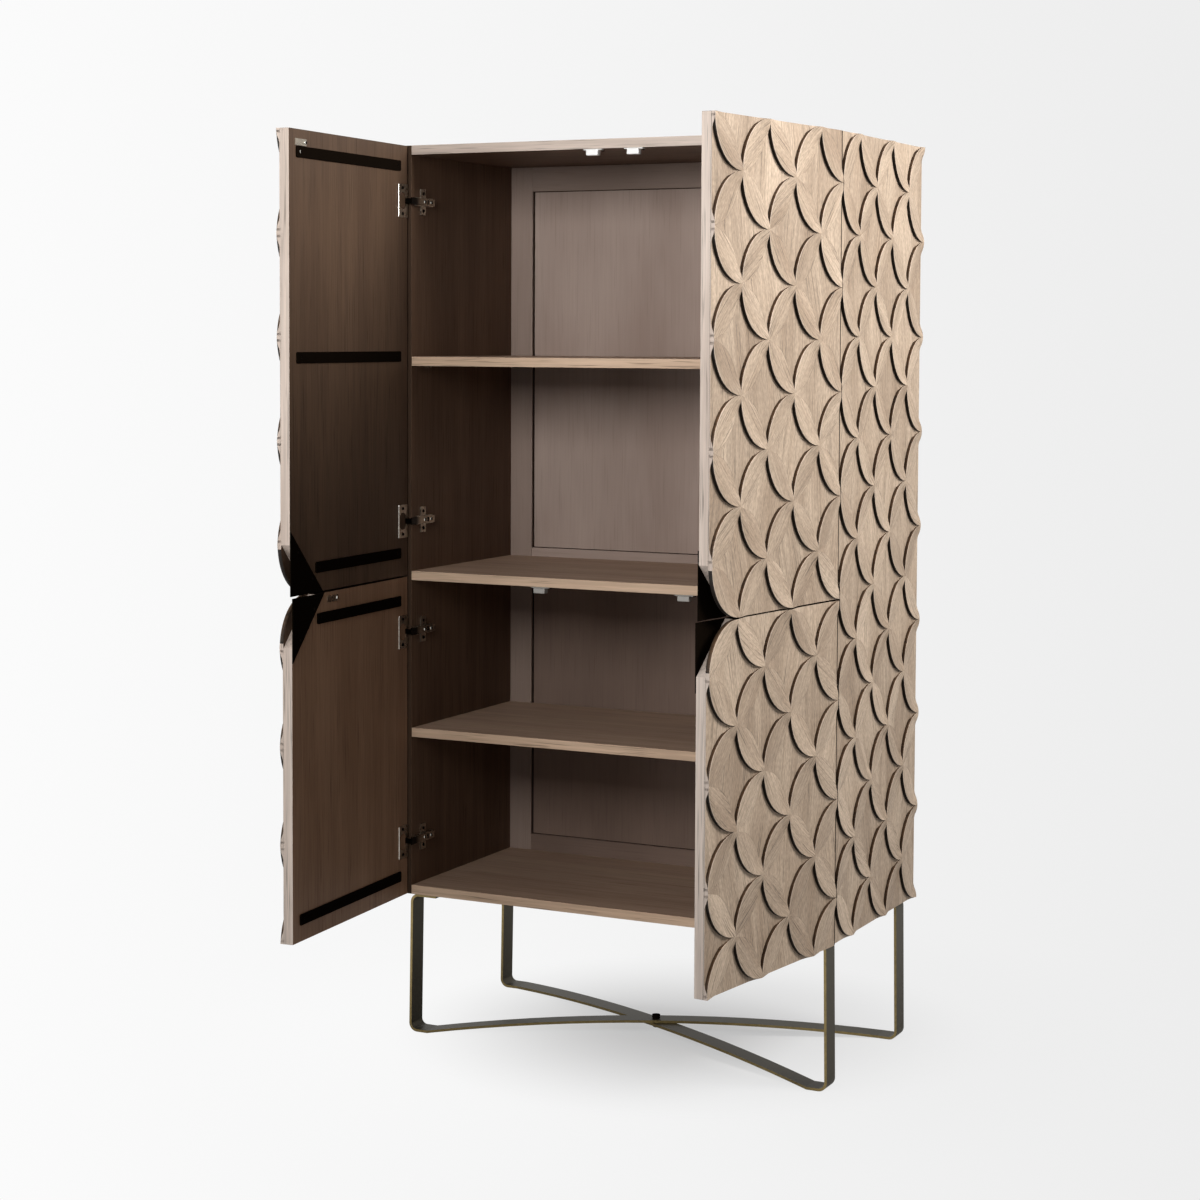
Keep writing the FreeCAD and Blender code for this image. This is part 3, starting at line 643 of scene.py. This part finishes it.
def add_block(mesh, low, high):
    """Add a cube stretched between two corners."""
    stretch = Matrix.Translation((low + high) / 2) @ Matrix.Diagonal((*(high - low), 1))
    bmesh.ops.create_cube(mesh, size=1, matrix=stretch)


def block_mesh(low, high):
    """One softened block."""
    mesh = bmesh.new()
    add_block(mesh, low, high)
    softened(mesh, SOFT_EDGE)
    return mesh


print("edges softened by", SOFT_EDGE)

# %% [markdown]
# ## Boards
# The case is boxed up from boards with their grain along their length. The shelves' tops are painted paler
# than their brown undersides, as light from above. The sides are brown inside, and the sides' front edges are
# painted dark as the shade of the gap behind the doors.

# %% Boards
# Shelf tops painted lighter than their undersides, as light from above.
SHELF_FACES = {"+z": "shelf", "-z": "inside"}
SIDE_FACES = {"+x": "inside", "-x": "inside", "-y": "reveal_shade"}
BOARDS = {
    "top_panel": ("x", {"-z": "inside", "+z": "edge"}, "edge"),
    "bottom_panel": ("x", SHELF_FACES, "shelf_edge"),
    "middle_shelf": ("x", SHELF_FACES, "shelf_edge"),
    "upper_shelf": ("x", SHELF_FACES, "shelf_edge"),
    "lower_shelf": ("x", SHELF_FACES, "shelf_edge"),
    "left_side_board": ("z", SIDE_FACES, "edge"),
    "right_side_board": ("z", SIDE_FACES, "edge"),
    "back_left_stile": ("z", {}, "back_frame"),
    "back_right_stile": ("z", {}, "back_frame"),
    "back_top_rail": ("x", {}, "back_frame"),
    "back_middle_rail": ("x", {}, "back"),
    "back_bottom_rail": ("x", {}, "shaded_low_back"),
}
for node, (grain, stains, rest) in BOARDS.items():
    finishes = {way: WOOD[stain, grain] for way, stain in stains.items()}
    data = stained(block_mesh(*box_in(node)), f"{node}_wood", WOOD[rest, grain], finishes)
    put(data, Matrix(), "case", node)
print(len(BOARDS), "boards")

# %% [markdown]
# ## Back panels
# Each back panel floats in its frame: a flat field with a thinner tongue all round that runs in the frame's
# grooves. The gap left between field and frame shows as a dark line: the tongue is painted near black as the
# shade in that gap. Two blocks are simpler than one block with steps cut into it.

# %% Back panels
PANEL_SIDE_GAP = 4.5 * MM
PANEL_END_GAP = 1.5 * MM
TONGUE_SETBACK = Vector((0, 3, 0)) * MM
PANELS = {"upper": ("middle", "top", "back"), "lower": ("bottom", "middle", "shaded_low_back")}
for level, (below, above, stain) in PANELS.items():
    node = f"back_{level}_panel"
    low, high = box_in(node)
    field_low = Vector((box_in("back_left_stile")[1].x + PANEL_SIDE_GAP, low.y,
                        box_in(f"back_{below}_rail")[1].z + PANEL_END_GAP))
    field_high = Vector((box_in("back_right_stile")[0].x - PANEL_SIDE_GAP, high.y,
                         box_in(f"back_{above}_rail")[0].z - PANEL_END_GAP))
    data = stained(block_mesh(field_low, field_high), f"{node}_field", WOOD[stain, "z"])
    put(data, Matrix(), "case", node)
    tongue = block_mesh(low + TONGUE_SETBACK, high - TONGUE_SETBACK)
    put(stained(tongue, f"{node}_tongue", WOOD["end_grain_and_gap_shade", "z"]), Matrix(), "case", node)
print(len(PANELS), "back panels")

# %% [markdown]
# ## Door leaves
# A leaf is one board with its meeting corner cut off at 45 degrees, one carved pitch along each edge. Its
# outline is a single face, extruded to the board's thickness, which needs no Boolean. The free edge is pale;
# the hidden ones are painted near black as the shade of the gaps they face.

# %% Door leaves
def leaf_mesh(low, high, rows, upper):
    """Board of one door, its cut corner at the foot of an upper door and at the head of a lower one."""
    across, up = (high.x - low.x) / COLUMNS, (high.z - low.z) / rows
    outline = [(low.x + across, low.z), (high.x, low.z), (high.x, high.z), (low.x, high.z),
               (low.x, low.z + up)]
    if not upper:
        outline = [(x, low.z + high.z - z) for x, z in outline]
    mesh = bmesh.new()
    face = mesh.faces.new([mesh.verts.new((x, low.y, z)) for x, z in outline])
    raised = bmesh.ops.extrude_face_region(mesh, geom=[face])["geom"]
    corners = [item for item in raised if isinstance(item, bmesh.types.BMVert)]
    bmesh.ops.translate(mesh, vec=(0, high.y - low.y, 0), verts=corners)
    softened(mesh, SOFT_EDGE)
    return mesh


HIDDEN_EDGES = ("-y", "+x", "+z", "-z")
for door, level, place in DOORS:
    node = f"{door}_door_board"
    mesh = leaf_mesh(*box_in(node, place), DOOR_ROWS[level], level == "upper")
    finishes = {"+y": WOOD[f"{level}_door", "z"], **{way: WOOD["end_grain_and_gap_shade", "z"] for way in HIDDEN_EDGES},
                "-x": WOOD["edge", "z"]}
    data = stained(mesh, f"{door}_leaf", WOOD["edge", "z"], finishes)
    put(data, place, f"{door}_door", node)
print(len(DOORS), "leaves")

# %% [markdown]
# ## Metal, paint and plastic
# The steel looks painted black on the doors' plates and bars, nickelled on the hinges, and dark bronze on
# the legs, with brass showing along their narrow sides. The catches are moulded plastic. A little noise
# in the colour and in the roughness keeps each from looking like a flat coat.

# %% Metal and plastic
METAL_SPECK = 60
PAINT_SPECK = 220
PLASTIC_SPECK = 900
SPECK_DEPTH = 0.2 * MM


def metal(name, colour, roughness, wear=0.15):
    """Bare metal, blotched by wear."""
    finish = Finish(name, metallic=1.0)
    blotch = finish.noise(finish.object_place(), METAL_SPECK, 4, 0.6)
    finish.set("Base Color", finish.tint(colour, 1 - wear + blotch * wear * 2))
    finish.set("Roughness", roughness + (blotch - 0.5) * 0.2)
    finish.bump(blotch, 0.08, SPECK_DEPTH)
    return finish.material


def plastic(name, colour):
    """Moulded plastic with a fine speckle."""
    finish = Finish(name)
    fleck = finish.noise(finish.object_place(), PLASTIC_SPECK, 2)
    finish.set("Base Color", finish.tint(colour, 0.95 + fleck * 0.1))
    finish.set("Roughness", 0.4 + fleck * 0.1)
    return finish.material


def paint(name, colour):
    """Dull dark paint that mirrors nothing."""
    finish = Finish(name, roughness=0.5)
    finish.set("Specular IOR Level", 0.0)
    speck = finish.noise(finish.object_place(), PAINT_SPECK, 4, 0.6)
    finish.set("Base Color", finish.tint(colour, 0.8 + speck * 0.4))
    finish.bump(speck, 0.1, SPECK_DEPTH)
    return finish.material


BLACK_STEEL = paint("black_paint", srgb(17, 12, 8))
NICKEL = metal("nickel", srgb(222, 218, 208), 0.24)
DULL_NICKEL = metal("dull_nickel", srgb(178, 169, 154), 0.28, 0.3)
# Near-black metal painted into recesses and slots as their shade.
RECESS = metal("recess_shade", srgb(14, 11, 9), 0.6)
WHITE_PLASTIC = plastic("white_plastic", srgb(244, 243, 240))
GREY_PLASTIC = plastic("grey_plastic", srgb(150, 146, 140))
print("metal, paint and plastic")

# %% [markdown]
# ## Legs and hinge arms
# These two finishes change over the piece. The strap's is brass where the surface looks sideways. The arm's
# is painted dark towards the joint, as the shade where the arm dives into its cup. The solids of the straps,
# hinges, plates and pins already have their shape, so they only change their finish.

# %% Finishes of the kept solids
BRONZE, BRASS = srgb(60, 54, 40), srgb(142, 124, 82)
BRONZE_SPECK = 90
BRONZE_DEPTH = 0.3 * MM
ARM_NICKEL = srgb(168, 158, 142)
# Painted shade on the arm: dark from the joint up to ARM_SHADED, full nickel from ARM_UNSHADED on.
ARM_SHADED = 14 * MM
ARM_UNSHADED = 34 * MM


def leg_bronze():
    """Dark bronze on the strap's faces, brass along its narrow sides."""
    finish = Finish("leg_bronze", metallic=0.85)
    sideways = finish.axis(finish.facing(), 1).maths("ABSOLUTE")
    blotch = finish.noise(finish.object_place(), BRONZE_SPECK, 5, 0.65)
    brass_sides = sideways.between(0.55, 0.75) * (0.55 + blotch * 0.6)
    finish.set("Base Color", finish.tint(finish.mix(brass_sides, BRONZE, BRASS), 0.8 + blotch * 0.4))
    finish.set("Roughness", 0.5 - brass_sides * 0.12)
    finish.bump(blotch, 0.1, BRONZE_DEPTH)
    return finish.material


def arm_steel():
    """Nickel painted dark towards the joint, as the shade where the arm dives into its cup."""
    finish = Finish("arm_steel", metallic=1.0, roughness=0.26)
    unshaded = finish.axis(finish.object_place(), 1).between(ARM_SHADED, ARM_UNSHADED)
    blotch = finish.noise(finish.object_place(), METAL_SPECK, 4, 0.6)
    finish.set("Base Color", finish.tint(ARM_NICKEL, 0.04 + unshaded * (0.7 + blotch * 0.5)))
    return finish.material


KEPT_SOLIDS = {
    "leg_strap": leg_bronze(), "crossing_bolt": BLACK_STEEL, "crossing_nut": BLACK_STEEL,
    "pull_plate": BLACK_STEEL, "strike_plate": DULL_NICKEL, "hinge_arms": arm_steel(),
    "hinge_plates": DULL_NICKEL, "hinge_cups": DULL_NICKEL, "hinge_pins": DULL_NICKEL, "shelf_pins": NICKEL,
}
for node, item in frame["nodes"].items():
    for ending, material in KEPT_SOLIDS.items():
        if node.endswith(ending):
            item.data.materials.clear()
            item.data.materials.append(material)
print(len(KEPT_SOLIDS), "kinds of solid kept")

# %% [markdown]
# ## Screws
# The frame says where each screw sits: every loose island of a screw node is one screw. Here each gets a
# domed head with a driver recess, made by insetting the top face of a short cone and pushing it down.

# %% Screw heads
HEAD_SIDES = 20
HEAD_HEIGHT = 1.5 * MM
HEAD_TAPER = 0.72
RECESS_MARGIN = 0.3
RECESS_DEPTH = 0.8 * MM
ISLAND_WELD = 0.001 * MM


def islands(node, place=Matrix()):
    """Low and high corners of every loose part of a node's mesh, in the place given."""
    mesh = bmesh.new()
    mesh.from_mesh(frame["nodes"][node].data)
    bmesh.ops.remove_doubles(mesh, verts=mesh.verts[:], dist=ISLAND_WELD)
    back = place.inverted()
    seen, boxes = set(), []
    for start in mesh.verts:
        if start in seen:
            continue
        group, queue = [], [start]
        seen.add(start)
        while queue:
            vertex = queue.pop()
            group.append(back @ vertex.co)
            for edge in vertex.link_edges:
                other = edge.other_vert(vertex)
                if other not in seen:
                    seen.add(other)
                    queue.append(other)
        boxes.append(box_of(group))
    mesh.free()
    return boxes


def add_head(mesh, place, radius):
    """Domed screw head, its top at the place's origin and facing the place's +z; the recess is painted dark
    as shade.
    """
    outwards = place.to_3x3() @ Vector((0, 0, 1))
    sunk = place @ Matrix.Translation((0, 0, -HEAD_HEIGHT / 2))
    new = bmesh.ops.create_cone(mesh, cap_ends=True, segments=HEAD_SIDES, radius1=radius,
                                radius2=radius * HEAD_TAPER, depth=HEAD_HEIGHT, matrix=sunk)["verts"]
    faces = {face for vertex in new for face in vertex.link_faces}
    top = max(faces, key=lambda face: face.calc_center_median().dot(outwards))
    bmesh.ops.inset_region(mesh, faces=[top], thickness=radius * RECESS_MARGIN)
    bmesh.ops.translate(mesh, vec=outwards * -RECESS_DEPTH, verts=top.verts[:])
    for face in {face for vertex in top.verts for face in vertex.link_faces}:
        face.material_index = 1


def put_screws(name, mesh, material, place, body, node):
    """Turn gathered heads into a piece with recesses painted dark as shade."""
    bmesh.ops.recalc_face_normals(mesh, faces=mesh.faces[:])
    put(mesh_data(mesh, name, (material, RECESS)), place, body, node)


print(len(islands("case_screws")), "case screws")

# %% [markdown]
# ## Screws on the doors and the case
# A door's screws are driven from inside, so their heads face the case. Those of the strike plate are
# bright and the rest black. The case's screws either point up through the legs' flanges or out through
# the hinges' plates, which shows in the shape of their boxes.

# %% Screws
TO_CASE = Matrix.Rotation(-math.pi / 2, 4, "X")
DOWN = Matrix.Rotation(math.pi, 4, "X")
STRIKE_ZONE = 22 * MM
SCREWS = {"black": (BLACK_STEEL, "dark_steel"), "bright": (NICKEL, "hinge_steel")}
for door, _, place in DOORS:
    node = f"{door}_door_screws"
    strike = sum(box_in(f"{door}_strike_plate", place), Vector()) / 2
    meshes = {tone: bmesh.new() for tone in SCREWS}
    for low, high in islands(node, place):
        middle = (low + high) / 2
        tone = "bright" if (middle.xz - strike.xz).length < STRIKE_ZONE else "black"
        spot = Matrix.Translation((middle.x, high.y, middle.z))
        add_head(meshes[tone], spot @ TO_CASE, (high.x - low.x) / 2)
    for tone, mesh in meshes.items():
        material, slot = SCREWS[tone]
        put_screws(f"{door}_{tone}_screws", mesh, material, place, f"{door}_door", node)

mesh = bmesh.new()
for low, high in islands("case_screws"):
    middle = (low + high) / 2
    if high.z - low.z > high.x - low.x:
        add_head(mesh, Matrix.Translation((middle.x, middle.y, low.z)) @ DOWN, (high.x - low.x) / 2)
    else:
        hand = 1 if middle.x > 0 else -1
        inner = low.x if hand > 0 else high.x
        turn = Matrix.Rotation(-hand * math.pi / 2, 4, "Y")
        add_head(mesh, Matrix.Translation((inner, middle.y, middle.z)) @ turn, (high.z - low.z) / 2)
put_screws("case_screw_heads", mesh, BLACK_STEEL, Matrix(), "case", "case_screws")
print("screws on", len(DOORS), "doors and the case")

# %% [markdown]
# ## Hinges
# The solids already give the cup, the cranked arm and the plate. What a close look adds is the arm's two
# adjusting screws with a slot between them, and the bright folded lip along the free side of each cup flange.
# The slot is a small block painted near black as the shade in it. The lip is a block with its long edges
# rounded; the screws are the same heads as before.

# %% Hinge details
TO_INSIDE = Matrix.Rotation(-math.pi / 2, 4, "Y")
ADJUSTERS = (52 * MM, 76 * MM)
ADJUSTER_RADIUS = 4.6 * MM
PROUD = 0.9 * MM
SLOT_LOW = Vector((-0.5, 61, -4.5)) * MM
SLOT_HIGH = Vector((1.5, 66, 4.5)) * MM
SLOT_EDGE = 0.4 * MM
LIP_LOW = Vector((-0.5, -0.2, 0)) * MM
LIP_HIGH = Vector((3.2, 2.4, 0)) * MM
LIP_EDGE = 1.1 * MM
FLANGE = 1.2 * MM
for side, hand in HANDS.items():
    heads, slot_shades = bmesh.new(), bmesh.new()
    for low, high in islands(f"{side}_hinge_arms", mirror_to(hand)):
        corner = Vector((low.x, low.y, (low.z + high.z) / 2))
        for distance in ADJUSTERS:
            spot = Matrix.Translation((corner.x - PROUD, corner.y + distance, corner.z))
            add_head(heads, spot @ TO_INSIDE, ADJUSTER_RADIUS)
        add_block(slot_shades, corner + SLOT_LOW, corner + SLOT_HIGH)
    put_screws(f"{side}_hinge_adjusters", heads, NICKEL, mirror_to(hand), "case", None)
    softened(slot_shades, SLOT_EDGE)
    put(stained(slot_shades, f"{side}_hinge_slots", RECESS), mirror_to(hand), "case", None)
    for level in LEVELS:
        door = f"{level}_{side}"
        place = door_place(side, level)
        lips = bmesh.new()
        for low, high in islands(f"{door}_hinge_cups", place):
            face = high.y - FLANGE
            add_block(lips, Vector((low.x, face, low.z)) + LIP_LOW, Vector((low.x, face, high.z)) + LIP_HIGH)
        softened(lips, LIP_EDGE, 3)
        put(stained(lips, f"{door}_flange_lips", NICKEL), place, f"{door}_door", None)
print("hinge details on", len(HANDS), "sides")

# %% [markdown]
# ## Catches
# A magnetic catch is a small plastic box with an ear on each side for its screw. The box and the ears are
# blocks with rounded edges, hung under the board that carries them. At this size more would not be seen.

# %% Catches
CATCHES = {"upper": (WHITE_PLASTIC, "white_plastic"), "lower": (GREY_PLASTIC, "grey_plastic")}
BODY_HALF = 12 * MM
BODY_DEPTH = 13 * MM
BODY_EDGE = 1.2 * MM
EAR_THICKNESS = 2 * MM
EAR_SETBACK = 3 * MM
EAR_EDGE = 0.6 * MM
EAR_SCREW = 3.5 * MM
EAR_SCREW_RADIUS = 0.7 * EAR_SCREW
EAR_SCREW_PROUD = 0.6 * MM
for level, (material, slot) in CATCHES.items():
    node = f"{level}_catches"
    boxes, ears, heads = bmesh.new(), bmesh.new(), bmesh.new()
    for low, high in islands(node):
        middle = (low + high) / 2
        ear_foot = high.z - EAR_THICKNESS
        add_block(boxes, Vector((middle.x - BODY_HALF, low.y, low.z)),
                  Vector((middle.x + BODY_HALF, low.y + BODY_DEPTH, ear_foot)))
        add_block(ears, Vector((low.x, low.y + EAR_SETBACK, ear_foot)),
                  Vector((high.x, low.y + BODY_DEPTH, high.z)))
        ear_middle = low.y + (EAR_SETBACK + BODY_DEPTH) / 2
        for x in (low.x + EAR_SCREW, high.x - EAR_SCREW):
            spot = Matrix.Translation((x, ear_middle, ear_foot - EAR_SCREW_PROUD))
            add_head(heads, spot @ DOWN, EAR_SCREW_RADIUS)
    softened(boxes, BODY_EDGE, 3)
    softened(ears, EAR_EDGE)
    for name, mesh in (("boxes", boxes), ("ears", ears)):
        put(stained(mesh, f"{level}_catch_{name}", material), Matrix(), "case", node)
    put_screws(f"{level}_catch_screws", heads, NICKEL, Matrix(), "case", None)
print("catches under the top and the middle shelf")

# %% [markdown]
# ## Stiffener bars
# Flat steel, cut and painted black, keeps each leaf from bowing. The bars get rounded corners and a thin
# bevel, as a sheared and deburred bar has.

# %% Bars
BAR_CORNER = 3 * MM
BAR_EDGE = 0.5 * MM
for door, _, place in DOORS:
    node = f"{door}_stiffener_bars"
    bars = bmesh.new()
    for low, high in islands(node, place):
        add_block(bars, low, high)
    runs = {edge: (edge.verts[0].co - edge.verts[1].co).normalized() for edge in bars.edges}
    corners = [edge for edge, run in runs.items() if abs(run.y) > 0.9]
    bmesh.ops.bevel(bars, geom=corners, offset=BAR_CORNER, offset_type="OFFSET", affect="EDGES", segments=4,
                    profile=0.5, material=-1)
    softened(bars, BAR_EDGE, 1)
    put(stained(bars, f"{door}_bars", BLACK_STEEL), place, f"{door}_door", node)
print("bars on", len(DOORS), "doors")

# %% [markdown]
# ## Floor
# The picture was taken in a white studio whose floor runs up into the wall without a line. To the camera the
# floor glows as white as the room, a little darker to the right. Round a point under the cabinet part of that
# glow gives way to the darker lit floor, which paints a soft shadow there on top of the floor's own shadows,
# and further out the floor turns clear. Mixing them in one material saves a second render for the shadow.

# %% Floor
LEFT_WHITE, RIGHT_WHITE = srgb(251, 251, 251), srgb(237, 237, 237)
FLOOR_GREY = srgb(225, 225, 225)
ACROSS_VIEW = (0.896, 0.445, 0)
FLOOR_SIZE = 8
FLOOR_REACH = 1.0
SHADOW_MIDDLE = (0.05, 0.29, 0)
SHADOW_SHARE = 0.5
SHADOW_EDGE = (0.08, 0.62)
FLOOR_FADE = (0.5, 1.1)


def studio_floor():
    """Pale floor with a soft shadow painted near the cabinet over its own, running out into the white room.
    """
    finish = Finish("studio_floor", roughness=0.9)
    finish.set("Base Color", FLOOR_GREY)
    finish.set("Specular IOR Level", 0.1)
    away = finish.node("ShaderNodeVectorMath", {"operation": "DISTANCE"},
                       {0: finish.object_place(), 1: SHADOW_MIDDLE}, output=1)
    across = finish.node("ShaderNodeVectorMath", {"operation": "DOT_PRODUCT"},
                         {0: finish.object_place(), 1: ACROSS_VIEW}, output=1)
    white = finish.mix(across.between(-FLOOR_REACH, FLOOR_REACH), LEFT_WHITE, RIGHT_WHITE)
    glow = finish.node("ShaderNodeEmission", None, {"Color": white, "Strength": 1.0})
    to_camera = finish.node("ShaderNodeLightPath")
    # Painted shadow: the glow gives way to the darker lit floor round SHADOW_MIDDLE.
    share = to_camera * (1 - SHADOW_SHARE + SHADOW_SHARE * away.between(*SHADOW_EDGE))
    lit = finish.node("ShaderNodeMixShader", None, {0: share, 2: glow})
    finish.tree.links.new(finish.shader.outputs[0], lit.socket.node.inputs[1])
    clear = finish.node("ShaderNodeBsdfTransparent")
    fade = finish.node("ShaderNodeMixShader", None, {0: away.between(*FLOOR_FADE), 1: lit, 2: clear})
    finish.tree.links.new(fade.socket, finish.tree.nodes["Material Output"].inputs[0])
    bpy.ops.mesh.primitive_plane_add(size=FLOOR_SIZE)
    floor = bpy.context.object
    floor.name = "studio_floor"
    floor.data.materials.append(finish.material)
    floor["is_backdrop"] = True


studio_floor()
print("floor")

# %% [markdown]
# ## Room
# The room is white to the camera and in reflections, again a little darker to the right. As light it is
# much dimmer, or the inside of the cabinet would not fall into shade.

# %% Room
HALF_VIEW = 0.235
ROOM_LIGHT = 0.23


def world_node(tree, kind, inputs, **settings):
    """Outputs of a new node, its inputs linked to sockets or set to values."""
    node = tree.nodes.new(kind)
    for name, value in settings.items():
        setattr(node, name, value)
    for name, value in inputs.items():
        if isinstance(value, bpy.types.NodeSocket):
            tree.links.new(value, node.inputs[name])
        else:
            node.inputs[name].default_value = value
    return node.outputs


def studio_world():
    """White room, plain to the camera and dimmer as light."""
    world = bpy.data.worlds.new("studio")
    bpy.context.scene.world = world
    world.use_nodes = True
    tree = world.node_tree
    way = world_node(tree, "ShaderNodeTexCoord", {})["Generated"]
    across = world_node(tree, "ShaderNodeVectorMath", {0: way, 1: ACROSS_VIEW},
                        operation="DOT_PRODUCT")["Value"]
    share = world_node(tree, "ShaderNodeMapRange",
                       {"Value": across, "From Min": -HALF_VIEW, "From Max": HALF_VIEW})[0]
    white = world_node(tree, "ShaderNodeMix", {0: share, 6: LEFT_WHITE, 7: RIGHT_WHITE}, data_type="RGBA")[2]
    seen = world_node(tree, "ShaderNodeBackground", {"Color": white})[0]
    room = tree.nodes["Background"]
    room.inputs["Color"].default_value = (1, 1, 1, 1)
    room.inputs["Strength"].default_value = ROOM_LIGHT
    rays = world_node(tree, "ShaderNodeLightPath", {})
    shown = world_node(tree, "ShaderNodeMath", {0: rays["Is Camera Ray"], 1: rays["Is Glossy Ray"]},
                       operation="MAXIMUM")[0]
    blend = world_node(tree, "ShaderNodeMixShader", {0: shown, 1: room.outputs[0], 2: seen})[0]
    tree.links.new(blend, tree.nodes["World Output"].inputs[0])


studio_world()
print("room at", ROOM_LIGHT)

# %% [markdown]
# ## Lights
# Three soft boxes: one high in front that reaches into the upper half, a low fill from the front left
# that lifts the edges, and the strongest high on the right, which rakes over the carving and shows its
# relief. They are large, because the picture's shadows have soft edges.

# %% Lights
def area_light(name, place, target, width, power, spread=180):
    """Square soft box aimed at a point, its beam as wide as the spread."""
    light = bpy.data.lights.new(name, "AREA")
    light.size = width
    light.spread = math.radians(spread)
    light.energy = power
    lamp = bpy.data.objects.new(name, light)
    lamp.location = place
    lamp.rotation_euler = (Vector(target) - Vector(place)).to_track_quat("-Z", "Y").to_euler()
    bpy.context.scene.collection.objects.link(lamp)


area_light("front", (0.1, -3.0, 2.1), (0, 0.3, 1.85), 1.0, 14, 85)
area_light("fill", (-1.7, -2.8, 1.0), (0, 0, 0.9), 1.2, 26)
area_light("side", (2.7, 0.3, 2.9), (0.45, -0.1, 1.9), 1.4, 45, 100)
bpy.context.scene.view_settings.view_transform = "Standard"
print("three lights")

# %% [markdown]
# ## Camera
# The camera stands to the right of the cabinet at chest height and looks a little down, with its lens
# shifted. Its place, turn and focal length were solved from points that can be found both in the picture
# and on the frame: corners of the case, ends of the shelves and nodes of the carved pattern.

# %% Camera
IMAGE = 1200
FOCAL_PIXELS = 2480.5
PRINCIPAL_ROW = 480
SENSOR = 36
CAMERA_PLACE = (2.0330, -4.1280, 1.3661)
FAR = 100
YAW, PITCH, ROLL = math.radians(26.407), math.radians(-3.319), math.radians(0.25)
camera_data = bpy.data.cameras.new("camera")
camera_data.sensor_width = SENSOR
camera_data.lens = SENSOR * FOCAL_PIXELS / IMAGE
camera_data.shift_y = (PRINCIPAL_ROW - IMAGE / 2) / IMAGE
camera_data.clip_end = FAR
camera = bpy.data.objects.new("camera", camera_data)
camera.location = CAMERA_PLACE
camera.rotation_euler = (Matrix.Rotation(YAW, 3, "Z") @ Matrix.Rotation(math.pi / 2 + PITCH, 3, "X")
                         @ Matrix.Rotation(ROLL, 3, "Z")).to_euler()
bpy.context.scene.collection.objects.link(camera)
bpy.context.scene.camera = camera
print("lens", camera_data.lens)

# %% [markdown]
# ## Size table
# The last step gathers the box of the solids and the box of the dressed model. The second is meant to lie
# inside the first: carving, lips and screws may refine the shape but are not meant to make the cabinet
# bigger.

# %% Size table
boxes = {"cad": CAD_BOX, "visual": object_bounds()}
